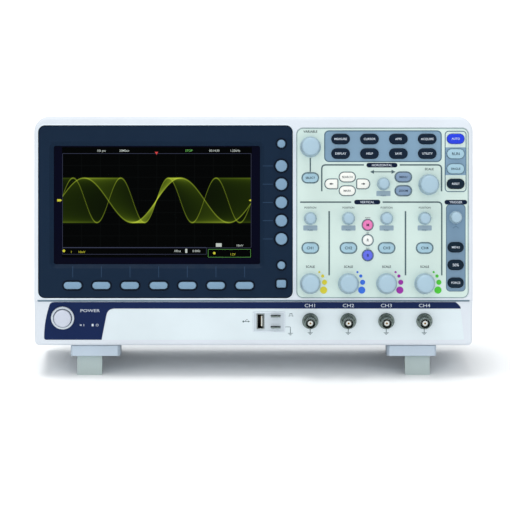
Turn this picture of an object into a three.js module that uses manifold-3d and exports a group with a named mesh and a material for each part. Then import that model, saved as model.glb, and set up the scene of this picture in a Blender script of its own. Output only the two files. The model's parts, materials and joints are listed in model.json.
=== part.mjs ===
// A bench digital oscilloscope, modelled as the assembly it is: a moulded front
// housing with a dark display bezel, a rear case with a folding handle, tilt legs,
// knobs, keys, input connectors, and the boards and display module inside.
//
// Units are millimetres. The instrument is modelled upright in its own frame:
// X to its right, Y from front to back, Z up, with Z = 0 at the underside of the
// case and Y = 0 at the front rim. At the end it leans back onto its tilt legs,
// and the part's origin goes to the middle of the ground it stands on.

import * as THREE from "three";
import { mergeVertices } from "three/addons/utils/BufferGeometryUtils.js";
import Module from "manifold-3d";

const wasm = await Module();
wasm.setup();

// ---------------------------------------------------------------- dimensions

const WIDTH = 380;
const HEIGHT = 198.2; // case only, without feet
const DEPTH = 113; // front rim to rear face
const WALL = 2.6;
const GAP = 0.35; // between pieces that touch or slide

const TOP_CORNER = 13;
const BOTTOM_CORNER = 4;
const FRONT_EDGE = 3; // rounding of the front rim
const HOUSING_DEPTH = 30; // where the front housing meets the rear case
const SEAM = 0.8; // how far the rear case stands in from the housing
const REAR_EDGE = 8;

// Front face: the upper part is upright, the input panel below it slopes inwards.
const FACE_BOTTOM = 39.4;
const STEP_BACK = 2.2;
const STEP_DROP = 1.7;
const INPUT_TOP = FACE_BOTTOM - STEP_DROP;
const INPUT_SLOPE = THREE.MathUtils.degToRad(10);
const INPUT_BOTTOM = 5;
const CONTROL_RECESS = 0.8;
const FACE_BACK = CONTROL_RECESS + 2.5;
const CONTROL = { left: 36.8, right: 186.6, bottom: 40.8, top: 188.8, corner: 6 };

// Display bezel and screen.
const BEZEL = { x: -76.2, z: 115.8, width: 219.8, height: 149, corner: 5.5 };
const BEZEL_FRONT = 0.2;
const BEZEL_BACK = 3.2;
const BEZEL_LEDGE = 2.5; // the shelf in the housing that the bezel rests on
const SCREEN = { x: -83.7, z: 121.7, width: 177.5, height: 101.3, bevel: 4.3 };
const SCREEN_WINDOW = { width: 184, height: 108, thick: 1.4 };
const DISPLAY_MODULE = { width: 192, height: 114, front: 5.4, back: 13.4 };

// Controls. Keys stand proud of the face they come through and stop on a flange.
const KEY_PROUD = 2;
const KEY_FLANGE = 1.2;
const FLANGE_GROW = 0.8; // how far a single key's flange stands out round its cap
const WEB_GROW = 1.4; // how far a keypad's web stands out round its caps
const CHANNEL_X = 49.2;
const CHANNEL_PITCH = 33;
const BIG_KNOB = { base: 9.1, tip: 7.9, length: 14.3, hole: 3.8 };
const SMALL_KNOB = { base: 5.65, tip: 4.5, length: 12, hole: 3.2 };
const KNOB_LIFT = 0.6; // clearance between a knob's skirt and the face

// Inputs, measured down the slope from the top edge of the input panel.
const BNC_DOWN = 16.7;
const BNC_HOLE = 5 + GAP;
const BNC = {
  back: 16, body: 4.6, washer: 7, washerBack: -0.3, washerFront: -2.3, neck: 5.4, neckFront: -3.6,
  shell: 4.8, bore: 4.05, mouth: -13, floor: -4.5, insulator: 2.35, insulatorFront: -11.5,
  lugReach: 5.6, lugY: -9.6,
};
const POWER = {
  x: -165.5, down: 14, radius: 7.55, front: -5.4, bevel: 0.8, flangeFront: 3.4, flangeBack: 4.8,
  flange: 1.2, stem: 3, back: 12,
};
const USB = { x: 6.1, down: 17.1, width: 6, height: 13.2, depth: 15, wall: 0.5, lip: -0.4, floor: 11 };
const USB_TONGUE = { left: 0.6, right: 2.2, half: 5.2, front: 1 };
const HOOK = {
  x: 19.2, probeDown: 12.2, groundDown: 22, width: 7.8, thick: 1, front: -4.5, back: 8,
  eye: 1.3, eyeY: -2.2,
};

// Feet and tilt legs. The legs' drop against the rear feet's sets the lean.
const FOOT_DROP = 9.5;
const LEG_DROP = 25.7;
const FOOT = { x: 138, width: 42.8, front: 14, back: 50, wall: 4.4, rearWall: 2.4, pinHole: 3 };
const LEG = {
  x: 143, width: 21.6, thick: 5.2, y: 21.5, z: -4.8, pin: 1.5, pinReach: 2.6, pinGap: 0.4,
  sideGap: 0.5,
};
const REAR_FOOT = { x: 138, width: 30, front: 95, heel: 104, back: 112 };
const LEAN = Math.atan2(LEG_DROP - FOOT_DROP, REAR_FOOT.heel - LEG.y);

// Handle, folded flat in a pocket in the top of the rear case.
const POCKET = { halfWidth: 80, front: 44, back: 80, depth: 12 };
const HANDLE = {
  arm: 10, bar: 12, thick: 10, pivotY: 73, pivotDrop: 6.5, pin: 2.5, pinReach: 2.4, pinRoot: 3,
  sideGap: 0.6, frontGap: 1.5,
};

// Rear connectors, centred at (x, z) on the rear face.
const INLET = { x: 130, z: 42, width: 27, height: 20, depth: 18, wall: 1.8, hollow: 14 };
const LAN = { x: -96, z: 36, width: 16, height: 13.6, depth: 15, wall: 1.6, hollow: 12 };
const USB_DEVICE = { x: -66, z: 36, width: 12, height: 11, depth: 13, wall: 1, hollow: 10 };
const CONNECTOR_PROUD = 0.6; // how far their mouths stand out of the rear face
const REAR_HOLE_DEPTH = 15;

// Ventilation slots in the rear face and in each side.
const REAR_VENTS = { rows: [88, 118, 148], count: 9, x: 26, pitch: 10, width: 4, height: 22 };
const SIDE_VENTS = { count: 5, y: 52, pitch: 8, width: 3.4, bottom: 60, top: 130, reach: 8 };

// -------------------------------------------------------------- shape helpers

const box = (x0, x1, y0, y1, z0, z1) =>
  new THREE.BoxGeometry(x1 - x0, y1 - y0, z1 - z0).translate(
    (x0 + x1) / 2,
    (y0 + y1) / 2,
    (z0 + z1) / 2,
  );

// A rectangle with its four corners rounded: [bottom left, bottom right, top right, top left].
function roundedRect(x, z, width, height, radii) {
  const [bl, br, tr, tl] = Array.isArray(radii) ? radii : Array(4).fill(radii);
  const left = x - width / 2;
  const right = x + width / 2;
  const bottom = z - height / 2;
  const top = z + height / 2;
  const quarter = Math.PI / 2;
  const shape = new THREE.Shape();
  shape.absarc(left + bl, bottom + bl, bl, 2 * quarter, 3 * quarter);
  shape.absarc(right - br, bottom + br, br, 3 * quarter, 4 * quarter);
  shape.absarc(right - tr, top - tr, tr, 0, quarter);
  shape.absarc(left + tl, top - tl, tl, quarter, 2 * quarter);
  return shape;
}

// A shape drawn in X and Z, as seen from the front, filling front to back in Y.
function slab(shape, front, back, curveSegments = 1) {
  const settings = { depth: back - front, bevelEnabled: false, curveSegments };
  const geometry = new THREE.ExtrudeGeometry(shape, settings);
  return geometry.rotateX(Math.PI / 2).translate(0, back, 0);
}

// A profile drawn in Y and Z, as seen from the side, running from x0 to x1.
function bar(points, x0, x1, curveSegments = 1) {
  const shape = points instanceof THREE.Shape ? points : new THREE.Shape(
    points.map(([y, z]) => new THREE.Vector2(y, z)),
  );
  const settings = { depth: x1 - x0, bevelEnabled: false, curveSegments };
  const geometry = new THREE.ExtrudeGeometry(shape, settings);
  const axes = new THREE.Matrix4().makeBasis(
    new THREE.Vector3(0, 1, 0),
    new THREE.Vector3(0, 0, 1),
    new THREE.Vector3(1, 0, 0),
  );
  return geometry.applyMatrix4(axes).translate(x0, 0, 0);
}

// A profile of [radius, y] turned about the Y axis through (x, z).
function turned(points, x = 0, z = 0, segments = 12) {
  const profile = points.map(([radius, y]) => new THREE.Vector2(radius, y));
  return new THREE.LatheGeometry(profile, segments).translate(x, 0, z);
}

const rod = (radius, front, back, x = 0, z = 0, segments = 12) =>
  turned([[0, front], [radius, front], [radius, back], [0, back]], x, z, segments);

const rodAlongX = (radius, x0, x1, y, z, segments = 12) =>
  new THREE.CylinderGeometry(radius, radius, x1 - x0, segments)
    .rotateZ(Math.PI / 2)
    .translate((x0 + x1) / 2, y, z);

// ------------------------------------------------------------- solid booleans

// A closed geometry as a manifold-3d solid, facing out whichever way it was wound.
function solid(geometry) {
  const source = geometry.index ? geometry.toNonIndexed() : geometry;
  const bare = new THREE.BufferGeometry();
  bare.setAttribute("position", source.getAttribute("position"));
  const merged = mergeVertices(bare, 1e-4);
  const corners = [];
  for (let i = 0; i < merged.index.count; i += 3) {
    const [a, b, c] = [0, 1, 2].map((k) => merged.index.getX(i + k));
    if (a !== b && b !== c && c !== a) corners.push([a, b, c]);
  }
  const make = (triangles) =>
    new wasm.Manifold(
      new wasm.Mesh({
        numProp: 3,
        vertProperties: merged.attributes.position.array,
        triVerts: new Uint32Array(triangles.flat()),
      }),
    );
  const made = make(corners);
  return made.volume() >= 0 ? made : make(corners.map(([a, b, c]) => [a, c, b]));
}

const joined = (geometries) =>
  geometries.map(solid).reduce((whole, piece) => whole.add(piece));

const cutFrom = (body, geometries) =>
  geometries.map(solid).reduce((whole, tool) => whole.subtract(tool), body);

function geometryOf(body) {
  const mesh = body.getMesh();
  const positions = new Float32Array(mesh.numVert * 3);
  for (let i = 0; i < mesh.numVert; i++) {
    const start = i * mesh.numProp;
    positions.set(mesh.vertProperties.subarray(start, start + 3), i * 3);
  }
  const indexed = new THREE.BufferGeometry();
  indexed.setAttribute("position", new THREE.BufferAttribute(positions, 3));
  indexed.setIndex(new THREE.BufferAttribute(mesh.triVerts, 1));
  const flat = indexed.toNonIndexed();
  flat.computeVertexNormals();
  return flat;
}

// ------------------------------------------------------------------ materials

const finish = (color, roughness, metalness = 0) =>
  new THREE.MeshStandardMaterial({ color, roughness, metalness });

const materials = {
  housing: finish(0xe2ebf0, 0.5),
  bezel: finish(0x1f3348, 0.42),
  glass: finish(0x05080c, 0.08),
  knob: finish(0xb4cbdc, 0.4),
  keyLight: finish(0xa9cbe0, 0.42),
  keySoft: finish(0x8fb3cd, 0.42),
  keyDark: finish(0x12283a, 0.4),
  keyGrey: finish(0x8298b6, 0.42),
  keyWhite: finish(0xf4f6f2, 0.42),
  keyBlue: finish(0x1f3fe0, 0.38),
  keyPink: finish(0xe77bb8, 0.4),
  keyViolet: finish(0x6f7be6, 0.4),
  leg: finish(0xadbbba, 0.6),
  rubber: finish(0x3a4045, 0.85),
  nickel: finish(0x8f9594, 0.28, 1),
  steel: finish(0xa7abad, 0.4, 1),
  blackPlastic: finish(0x15171a, 0.5),
  board: finish(0x1d5a3a, 0.55),
  power: finish(0xd3d8e2, 0.4),
};

// ------------------------------------------------------------- the assembly

const oscilloscope = new THREE.Group();
const instrument = new THREE.Group();
const inputPanel = new THREE.Group(); // its local Y = 0 is the sloping face, Z runs up it
oscilloscope.add(instrument);
instrument.add(inputPanel);
inputPanel.rotation.x = INPUT_SLOPE;
inputPanel.position.set(0, STEP_BACK, INPUT_TOP);
inputPanel.updateMatrix();

function addPart(group, name, shape, material) {
  const geometry = shape.isBufferGeometry ? geometryOf(solid(shape)) : geometryOf(shape);
  const mesh = new THREE.Mesh(geometry, material);
  mesh.name = name;
  group.add(mesh);
}

// A cutter drawn in the input panel's own frame, moved into the instrument's.
const onSlope = (geometry) => geometry.applyMatrix4(inputPanel.matrix);

// -------------------------------------------------------------------- the keys

// Each key: where its cap is, its size and the corner radii that give its outline.
const key = (name, x, z, width, height, material, radii = height / 2) => ({
  name, x, z, width, height, material, radii,
});
const roundKey = (name, x, z, diameter, material) =>
  key(name, x, z, diameter, diameter, material);

const rowZ = { function: [178.8, 166.2], nav: [145.9, 139.9, 134] };
const SIDE_X = 24.1;
const RUN_X = 175;
const MATH_X = 98.9;
const OVAL = { width: 13.4, height: 7.8 };

const softKeys = Array.from({ length: 7 }, (_, i) =>
  key("soft", -156.5 + 24.8 * i, 52, 15.4, 6.1, materials.keySoft),
);
const sideKeys = [
  roundKey("option", SIDE_X, 174.7, 6.9, materials.keySoft),
  ...Array.from({ length: 5 }, (_, i) =>
    roundKey("side", SIDE_X, 155.5 - 15.8 * i, 10, materials.keySoft),
  ),
  roundKey("menu_off", SIDE_X, 69.5, 6.7, materials.keySoft),
  key("print", SIDE_X, 53.5, 8.2, 6.6, materials.keySoft, 1.6),
];
const functionKeys = rowZ.function.flatMap((z) =>
  Array.from({ length: 4 }, (_, i) =>
    key("function", 75.4 + 25 * i, z, 15.6, 8.6, materials.keyDark),
  ),
);
const navKeys = [
  key("search", 81.2, rowZ.nav[0], OVAL.width, OVAL.height, materials.keyWhite),
  key("mark", 81.2, rowZ.nav[2], OVAL.width, OVAL.height, materials.keyWhite),
  key("back", 67.4, rowZ.nav[1], 10.6, 7.8, materials.keyWhite, [3.8, 1, 1, 3.8]),
  key("forward", 95, rowZ.nav[1], 10.6, 7.8, materials.keyWhite, [1, 3.8, 3.8, 1]),
];
const singleKeys = [
  key("autoset_key", RUN_X, 179, 15, 8.4, materials.keyBlue),
  key("run_stop_key", RUN_X, 166, 15, 8.4, materials.keyLight),
  key("single_key", RUN_X, 153, 15, 8.4, materials.keyLight),
  key("default_key", RUN_X, 140, 15, 8.4, materials.keyDark),
  key("select_key", 49.2, 145.2, OVAL.width, OVAL.height, materials.keyLight),
  key("horizontal_menu_key", 129.7, rowZ.nav[0], OVAL.width, OVAL.height, materials.keyGrey),
  key("zoom_key", 129.7, rowZ.nav[2], OVAL.width, OVAL.height, materials.keyGrey),
  ...[1, 2, 3, 4].map((n) =>
    key(`channel_${n}_key`, CHANNEL_X + CHANNEL_PITCH * (n - 1), 84.5,
      OVAL.width, 8.2, materials.keyLight),
  ),
  roundKey("math_key", MATH_X, 104.4, 8.6, materials.keyPink),
  roundKey("reference_key", MATH_X, 91.3, 8.6, materials.keyWhite),
  roundKey("bus_key", MATH_X, 78.1, 8.6, materials.keyViolet),
  key("trigger_menu_key", RUN_X, 85.1, 13.6, 8.4, materials.keyDark),
  key("trigger_half_key", RUN_X, 69.8, 13.6, 8.4, materials.keyDark),
  key("trigger_force_key", RUN_X, 54.4, 13.6, 8.4, materials.keyDark),
];

const keyShape = (k, grow = 0) =>
  roundedRect(k.x, k.z, k.width + 2 * grow, k.height + 2 * grow,
    Array.isArray(k.radii) ? k.radii.map((r) => r + grow) : k.radii + grow);

const keyHole = (k) => slab(keyShape(k, GAP), -2, FACE_BACK + 2);

// One key: a cap through the face, and a flange behind it that stops it coming out.
function addKey(k, faceFront, faceBack) {
  const web = faceBack + GAP;
  const reachX = k.width / 2 + FLANGE_GROW;
  const reachZ = k.height / 2 + FLANGE_GROW;
  const cap = slab(keyShape(k), faceFront - KEY_PROUD, web + KEY_FLANGE);
  const flange = box(
    k.x - reachX, k.x + reachX, web, web + KEY_FLANGE, k.z - reachZ, k.z + reachZ,
  );
  addPart(instrument, k.name, joined([cap, flange]), k.material);
}

// Several caps moulded on one silicone web.
function addKeypad(name, keys, faceFront, faceBack) {
  const web = faceBack + GAP;
  const caps = keys.map((k) => slab(keyShape(k), faceFront - KEY_PROUD, web + KEY_FLANGE));
  const edgesX = keys.flatMap((k) => [k.x - k.width / 2, k.x + k.width / 2]);
  const edgesZ = keys.flatMap((k) => [k.z - k.height / 2, k.z + k.height / 2]);
  const sheet = box(
    Math.min(...edgesX) - WEB_GROW, Math.max(...edgesX) + WEB_GROW,
    web, web + KEY_FLANGE,
    Math.min(...edgesZ) - WEB_GROW, Math.max(...edgesZ) + WEB_GROW,
  );
  addPart(instrument, name, joined([sheet, ...caps]), keys[0].material);
}

// ------------------------------------------------------------------- the knobs

const channelX = [0, 1, 2, 3].map((i) => CHANNEL_X + CHANNEL_PITCH * i);
const knobs = [
  { name: "variable_knob", x: 49.3, z: 171.9, size: BIG_KNOB },
  { name: "horizontal_position_knob", x: 112.5, z: 139.9, size: SMALL_KNOB },
  { name: "horizontal_scale_knob", x: 151.7, z: 139.3, size: BIG_KNOB },
  ...channelX.map((x, i) => ({ name: `position_${i + 1}_knob`, x, z: 110, size: SMALL_KNOB })),
  ...channelX.map((x, i) => ({ name: `scale_${i + 1}_knob`, x, z: 53.6, size: BIG_KNOB })),
  { name: "trigger_level_knob", x: RUN_X, z: 110.9, size: SMALL_KNOB },
];
const SHAFT_RADIUS = 2.4;
const KNOB_BORE = SHAFT_RADIUS + 0.5;
const SHAFT_TIP = -7;

function addKnob({ name, x, z, size }) {
  const back = CONTROL_RECESS - KNOB_LIFT;
  const front = back - size.length;
  const profile = [
    [0, front],
    [size.tip - 0.8, front],
    [size.tip, front + 0.9],
    [size.base, back - 2],
    [size.base, back],
    [KNOB_BORE, back],
    [KNOB_BORE, SHAFT_TIP - GAP],
    [0, SHAFT_TIP - GAP],
  ];
  addPart(instrument, name, turned(profile, x, z, 14), materials.knob);
}

// ----------------------------------------------------------- the front housing

// The case seen from the front, shrunk by an inset.
const caseOutline = (inset = 0) =>
  roundedRect(0, HEIGHT / 2, WIDTH - 2 * inset, HEIGHT - 2 * inset, [
    BOTTOM_CORNER - inset / 2, BOTTOM_CORNER - inset / 2,
    TOP_CORNER - inset, TOP_CORNER - inset,
  ]);

// The housing seen from the side: upright face, small step, sloping input panel.
function housingSide() {
  const underY = STEP_BACK + (INPUT_TOP - INPUT_BOTTOM) * Math.tan(INPUT_SLOPE);
  const side = new THREE.Shape();
  side.moveTo(HOUSING_DEPTH, 0);
  side.lineTo(HOUSING_DEPTH, HEIGHT);
  side.absarc(FRONT_EDGE, HEIGHT - FRONT_EDGE, FRONT_EDGE, Math.PI / 2, Math.PI);
  side.lineTo(0, FACE_BOTTOM);
  side.lineTo(STEP_BACK, INPUT_TOP);
  side.lineTo(underY, INPUT_BOTTOM);
  side.quadraticCurveTo(underY + 1, 0, underY + INPUT_BOTTOM, 0);
  return side;
}

function housingHollow() {
  const shift = 2.6;
  const slopeY = (z) => STEP_BACK + shift + (INPUT_TOP - z) * Math.tan(INPUT_SLOPE);
  return bar(
    [
      [HOUSING_DEPTH + 1, WALL],
      [HOUSING_DEPTH + 1, HEIGHT - WALL],
      [FACE_BACK, HEIGHT - WALL],
      [FACE_BACK, FACE_BOTTOM + 1.5],
      [slopeY(INPUT_TOP), INPUT_TOP],
      [slopeY(INPUT_BOTTOM), INPUT_BOTTOM],
      [slopeY(INPUT_BOTTOM) + 2, WALL],
    ],
    -WIDTH / 2 + WALL,
    WIDTH / 2 - WALL,
  );
}

const ledge = (grow) => slab(
  roundedRect(BEZEL.x, BEZEL.z, BEZEL.width + 2 * grow, BEZEL.height + 2 * grow, BEZEL.corner),
  FACE_BACK - 0.5, FACE_BACK + 2,
);

function frontHousing() {
  const outer = solid(bar(housingSide(), -WIDTH / 2, WIDTH / 2, 2)).intersect(
    solid(slab(caseOutline(), -1, HOUSING_DEPTH + 1, 3)),
  );
  const inner = solid(housingHollow()).intersect(
    solid(slab(caseOutline(WALL), -1, HOUSING_DEPTH + 2, 3)),
  );
  const shell = outer.subtract(inner).add(solid(ledge(2)).intersect(outer));
  const controlWidth = CONTROL.right - CONTROL.left;
  const controlHeight = CONTROL.top - CONTROL.bottom;
  const controlFace = roundedRect(
    (CONTROL.left + CONTROL.right) / 2, (CONTROL.bottom + CONTROL.top) / 2,
    controlWidth, controlHeight, CONTROL.corner,
  );
  const bezelSeat = roundedRect(
    BEZEL.x, BEZEL.z, BEZEL.width + 2 * GAP, BEZEL.height + 2 * GAP, BEZEL.corner + GAP,
  );
  const bezelOpening = roundedRect(
    BEZEL.x, BEZEL.z, BEZEL.width - 2 * BEZEL_LEDGE, BEZEL.height - 2 * BEZEL_LEDGE, 3,
  );
  const faceKeys = [...functionKeys, ...navKeys, ...singleKeys];
  const slopeCuts = [
    ...channelX.map((x) => rod(BNC_HOLE, -2, 5, x, -BNC_DOWN)),
    rod(POWER.radius + GAP, -2, 6, POWER.x, -POWER.down, 16),
    box(USB.x - USB.width / 2 - GAP, USB.x + USB.width / 2 + GAP, -2, 5,
      -USB.down - USB.height / 2 - GAP, -USB.down + USB.height / 2 + GAP),
    ...[HOOK.probeDown, HOOK.groundDown].map((down) =>
      box(HOOK.x - HOOK.width / 2 - GAP, HOOK.x + HOOK.width / 2 + GAP, -2, 5,
        -down - HOOK.thick / 2 - GAP, -down + HOOK.thick / 2 + GAP)),
  ];
  return cutFrom(shell, [
    slab(controlFace, -1, CONTROL_RECESS, 2),
    slab(bezelSeat, -1, FACE_BACK, 2),
    slab(bezelOpening, -1, FACE_BACK + 3),
    ...faceKeys.map(keyHole),
    ...knobs.map((k) => rod(k.size.hole, -1, FACE_BACK + 1, k.x, k.z, 10)),
    ...slopeCuts.map(onSlope),
  ]);
}

// ------------------------------------------------------------ display and bezel

function displayBezel() {
  const plate = solid(
    slab(
      roundedRect(BEZEL.x, BEZEL.z, BEZEL.width, BEZEL.height, BEZEL.corner),
      BEZEL_FRONT, BEZEL_BACK, 2,
    ),
  );
  const half = { x: SCREEN.width / 2, z: SCREEN.height / 2 };
  const flare = new THREE.CylinderGeometry(Math.SQRT1_2, Math.SQRT1_2, 1, 4).rotateY(Math.PI / 4);
  const corners = flare.getAttribute("position");
  for (let i = 0; i < corners.count; i++) {
    const grow = corners.getY(i) < 0 ? SCREEN.bevel : 0;
    corners.setXYZ(
      i,
      SCREEN.x + corners.getX(i) * 2 * (half.x + grow),
      corners.getY(i) < 0 ? BEZEL_FRONT - 0.01 : BEZEL_BACK + 0.5,
      SCREEN.z + corners.getZ(i) * 2 * (half.z + grow),
    );
  }
  return cutFrom(plate, [
    flare,
    ...[...softKeys, ...sideKeys].map(keyHole),
  ]);
}

const behindScreen = ({ width, height }, front, back) =>
  box(SCREEN.x - width / 2, SCREEN.x + width / 2, front, back,
    SCREEN.z - height / 2, SCREEN.z + height / 2);

// ---------------------------------------------------------------- the rear case

function rearCase() {
  const front = HOUSING_DEPTH + 0.4;
  const r = REAR_EDGE;
  const side = new THREE.Shape();
  side.moveTo(front, HEIGHT);
  side.lineTo(front, 0);
  side.absarc(DEPTH - r, r, r, -Math.PI / 2, 0);
  side.absarc(DEPTH - r, HEIGHT - r, r, 0, Math.PI / 2);
  const half = WIDTH / 2 - SEAM;
  const plan = new THREE.Shape();
  plan.moveTo(-half, front);
  plan.lineTo(half, front);
  plan.absarc(half - r, DEPTH - r, r, 0, Math.PI / 2);
  plan.absarc(r - half, DEPTH - r, r, Math.PI / 2, Math.PI);
  const fromAbove = { depth: HEIGHT, bevelEnabled: false, curveSegments: 3 };
  const block = solid(slab(caseOutline(SEAM), front, DEPTH, 3))
    .intersect(solid(bar(side, -WIDTH, WIDTH, 3)))
    .intersect(solid(new THREE.ExtrudeGeometry(plan, fromAbove)));
  const pocketBottom = HEIGHT - POCKET.depth;
  const hollow = cutFrom(
    solid(slab(caseOutline(SEAM + WALL), front - 1, DEPTH - WALL, 2)),
    [
      box(-POCKET.halfWidth - WALL, POCKET.halfWidth + WALL,
        POCKET.front - WALL, POCKET.back + WALL, pocketBottom - WALL, HEIGHT),
    ],
  );
  const rearHole = (c) =>
    box(c.x - c.width / 2 - GAP, c.x + c.width / 2 + GAP, DEPTH - REAR_HOLE_DEPTH, DEPTH + 1,
      c.z - c.height / 2 - GAP, c.z + c.height / 2 + GAP);
  const rearVents = REAR_VENTS.rows.flatMap((z) =>
    Array.from({ length: REAR_VENTS.count }, (_, i) => {
      const x = REAR_VENTS.x + REAR_VENTS.pitch * i;
      return box(
        x, x + REAR_VENTS.width, DEPTH - REAR_HOLE_DEPTH, DEPTH + 1, z, z + REAR_VENTS.height,
      );
    }),
  );
  const sideVents = [-1, 1].flatMap((side) =>
    Array.from({ length: SIDE_VENTS.count }, (_, i) => {
      const y = SIDE_VENTS.y + SIDE_VENTS.pitch * i;
      const x = side * WIDTH / 2;
      return box(
        x - SIDE_VENTS.reach, x + SIDE_VENTS.reach, y, y + SIDE_VENTS.width,
        SIDE_VENTS.bottom, SIDE_VENTS.top,
      );
    }),
  );
  return cutFrom(block.subtract(hollow), [
    box(-POCKET.halfWidth, POCKET.halfWidth, POCKET.front, POCKET.back,
      pocketBottom, HEIGHT + 5),
    ...[-1, 1].map((side) =>
      rodAlongX(HANDLE.pin + 0.5, side * POCKET.halfWidth - 4, side * POCKET.halfWidth + 4,
        HANDLE.pivotY, HEIGHT - HANDLE.pivotDrop)),
    ...[INLET, LAN, USB_DEVICE].map(rearHole),
    ...rearVents,
    ...sideVents,
  ]);
}

function handle() {
  const reach = POCKET.halfWidth - HANDLE.sideGap;
  const pivotZ = HEIGHT - HANDLE.pivotDrop;
  const bottom = pivotZ - HANDLE.thick / 2;
  const top = pivotZ + HANDLE.thick / 2;
  const barFront = POCKET.front + HANDLE.frontGap;
  const arm = (side) => {
    const shape = new THREE.Shape();
    shape.moveTo(barFront, top);
    shape.lineTo(barFront, bottom);
    shape.absarc(HANDLE.pivotY, pivotZ, HANDLE.thick / 2, -Math.PI / 2, Math.PI / 2);
    const [x0, x1] = side < 0 ? [-reach, HANDLE.arm - reach] : [reach - HANDLE.arm, reach];
    return bar(shape, x0, x1, 3);
  };
  const pin = (side) => {
    const ends = [side * (reach - HANDLE.pinRoot), side * (reach + HANDLE.pinReach)];
    return rodAlongX(HANDLE.pin, Math.min(...ends), Math.max(...ends), HANDLE.pivotY, pivotZ);
  };
  return joined([
    box(-reach, reach, barFront, barFront + HANDLE.bar, bottom, top),
    arm(-1), arm(1), pin(-1), pin(1),
  ]);
}

// ------------------------------------------------------------------ feet and legs

// Height of the ground, in the leaning instrument's own frame.
const groundAt = (y) => -FOOT_DROP + (y - REAR_FOOT.heel) * Math.tan(LEAN);

function frontFoot(side) {
  const x = side * FOOT.x;
  const slot = side * LEG.x;
  const slotHalf = LEG.width / 2 + LEG.sideGap;
  const block = solid(
    box(x - FOOT.width / 2, x + FOOT.width / 2, FOOT.front, FOOT.back, -FOOT_DROP, -GAP),
  );
  return cutFrom(block, [
    box(slot - slotHalf, slot + slotHalf, FOOT.front + FOOT.wall, FOOT.back - FOOT.rearWall, -20, 5),
    rodAlongX(
      LEG.pin + LEG.pinGap, slot - slotHalf - FOOT.pinHole, slot + slotHalf + FOOT.pinHole,
      LEG.y, LEG.z,
    ),
  ]);
}

function tiltLeg(side) {
  const half = LEG.thick / 2;
  const shape = new THREE.Shape();
  shape.moveTo(LEG.y - half, groundAt(LEG.y - half));
  shape.lineTo(LEG.y + half, groundAt(LEG.y + half));
  shape.absarc(LEG.y, LEG.z, half, 0, Math.PI);
  const x = side * LEG.x;
  const reach = LEG.width / 2 + LEG.pinReach;
  const pins = rodAlongX(LEG.pin, x - reach, x + reach, LEG.y, LEG.z);
  return joined([bar(shape, x - LEG.width / 2, x + LEG.width / 2, 3), pins]);
}

const rearFoot = (side) => {
  const x = side * REAR_FOOT.x;
  return bar(
    [
      [REAR_FOOT.front, -GAP],
      [REAR_FOOT.front, -FOOT_DROP],
      [REAR_FOOT.heel, -FOOT_DROP],
      [REAR_FOOT.back, groundAt(REAR_FOOT.back)],
      [REAR_FOOT.back, -GAP],
    ].reverse(),
    x - REAR_FOOT.width / 2,
    x + REAR_FOOT.width / 2,
  );
};

// ------------------------------------------------------------------- connectors

// A bayonet jack: washer on the panel, open-mouthed shell with two lugs, and the
// insulator with its centre contact standing inside the shell.
function bayonetJack(x) {
  const z = -BNC_DOWN;
  const profile = [
    [0, BNC.back],
    [BNC.body, BNC.back],
    [BNC.body, BNC.washerBack],
    [BNC.washer, BNC.washerBack],
    [BNC.washer, BNC.washerFront],
    [BNC.neck, BNC.washerFront],
    [BNC.neck, BNC.neckFront],
    [BNC.shell, BNC.neckFront],
    [BNC.shell, BNC.mouth],
    [BNC.bore, BNC.mouth],
    [BNC.bore, BNC.floor],
    [BNC.insulator, BNC.floor],
    [BNC.insulator, BNC.insulatorFront],
    [0, BNC.insulatorFront],
  ];
  const lugs = rodAlongX(1, x - BNC.lugReach, x + BNC.lugReach, BNC.lugY, z, 8);
  const bore = rod(BNC.bore, BNC.mouth - 1, BNC.floor, x, z);
  return solid(turned(profile, x, z)).add(solid(lugs).subtract(solid(bore)));
}

function usbHostPort() {
  const z = -USB.down;
  const half = { x: USB.width / 2, z: USB.height / 2 };
  const inner = { x: half.x - USB.wall, z: half.z - USB.wall };
  const tongue = box(
    USB.x + USB_TONGUE.left, USB.x + USB_TONGUE.right, USB_TONGUE.front, USB.floor + 0.5,
    z - USB_TONGUE.half, z + USB_TONGUE.half,
  );
  return cutFrom(
    solid(box(USB.x - half.x, USB.x + half.x, USB.lip, USB.depth, z - half.z, z + half.z)),
    [box(USB.x - inner.x, USB.x + inner.x, -2, USB.floor, z - inner.z, z + inner.z)],
  ).add(solid(tongue));
}

function hook(down) {
  const half = HOOK.width / 2;
  const tab = box(
    HOOK.x - half, HOOK.x + half, HOOK.front, HOOK.back,
    -down - HOOK.thick / 2, -down + HOOK.thick / 2,
  );
  const eye = new THREE.CylinderGeometry(HOOK.eye, HOOK.eye, 5, 10).rotateX(Math.PI / 2);
  return cutFrom(solid(tab), [eye.translate(HOOK.x, HOOK.eyeY, -down)]);
}

// An open-mouthed connector body on the rear face, with what stands inside it.
function rearConnector(c, wall, hollowDepth, inside) {
  const half = { x: c.width / 2, z: c.height / 2 };
  const mouth = DEPTH + CONNECTOR_PROUD;
  const body = cutFrom(
    solid(box(c.x - half.x, c.x + half.x, mouth - c.depth, mouth, c.z - half.z, c.z + half.z)),
    [box(c.x - half.x + wall, c.x + half.x - wall, mouth - hollowDepth, mouth + 1,
      c.z - half.z + wall, c.z + half.z - wall)],
  );
  return inside.reduce((whole, piece) => whole.add(solid(piece)), body);
}

function mainsInlet() {
  const floor = DEPTH + CONNECTOR_PROUD - INLET.hollow;
  const pinLength = 8;
  const pins = [[-7, -2], [0, 2], [7, -2]].map(([dx, dz]) =>
    box(INLET.x + dx - 1, INLET.x + dx + 1, floor - 1, floor + pinLength,
      INLET.z + dz - 2, INLET.z + dz + 2));
  return rearConnector(INLET, INLET.wall, INLET.hollow, pins);
}

const lanPort = () => rearConnector(LAN, LAN.wall, LAN.hollow, []);

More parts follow.
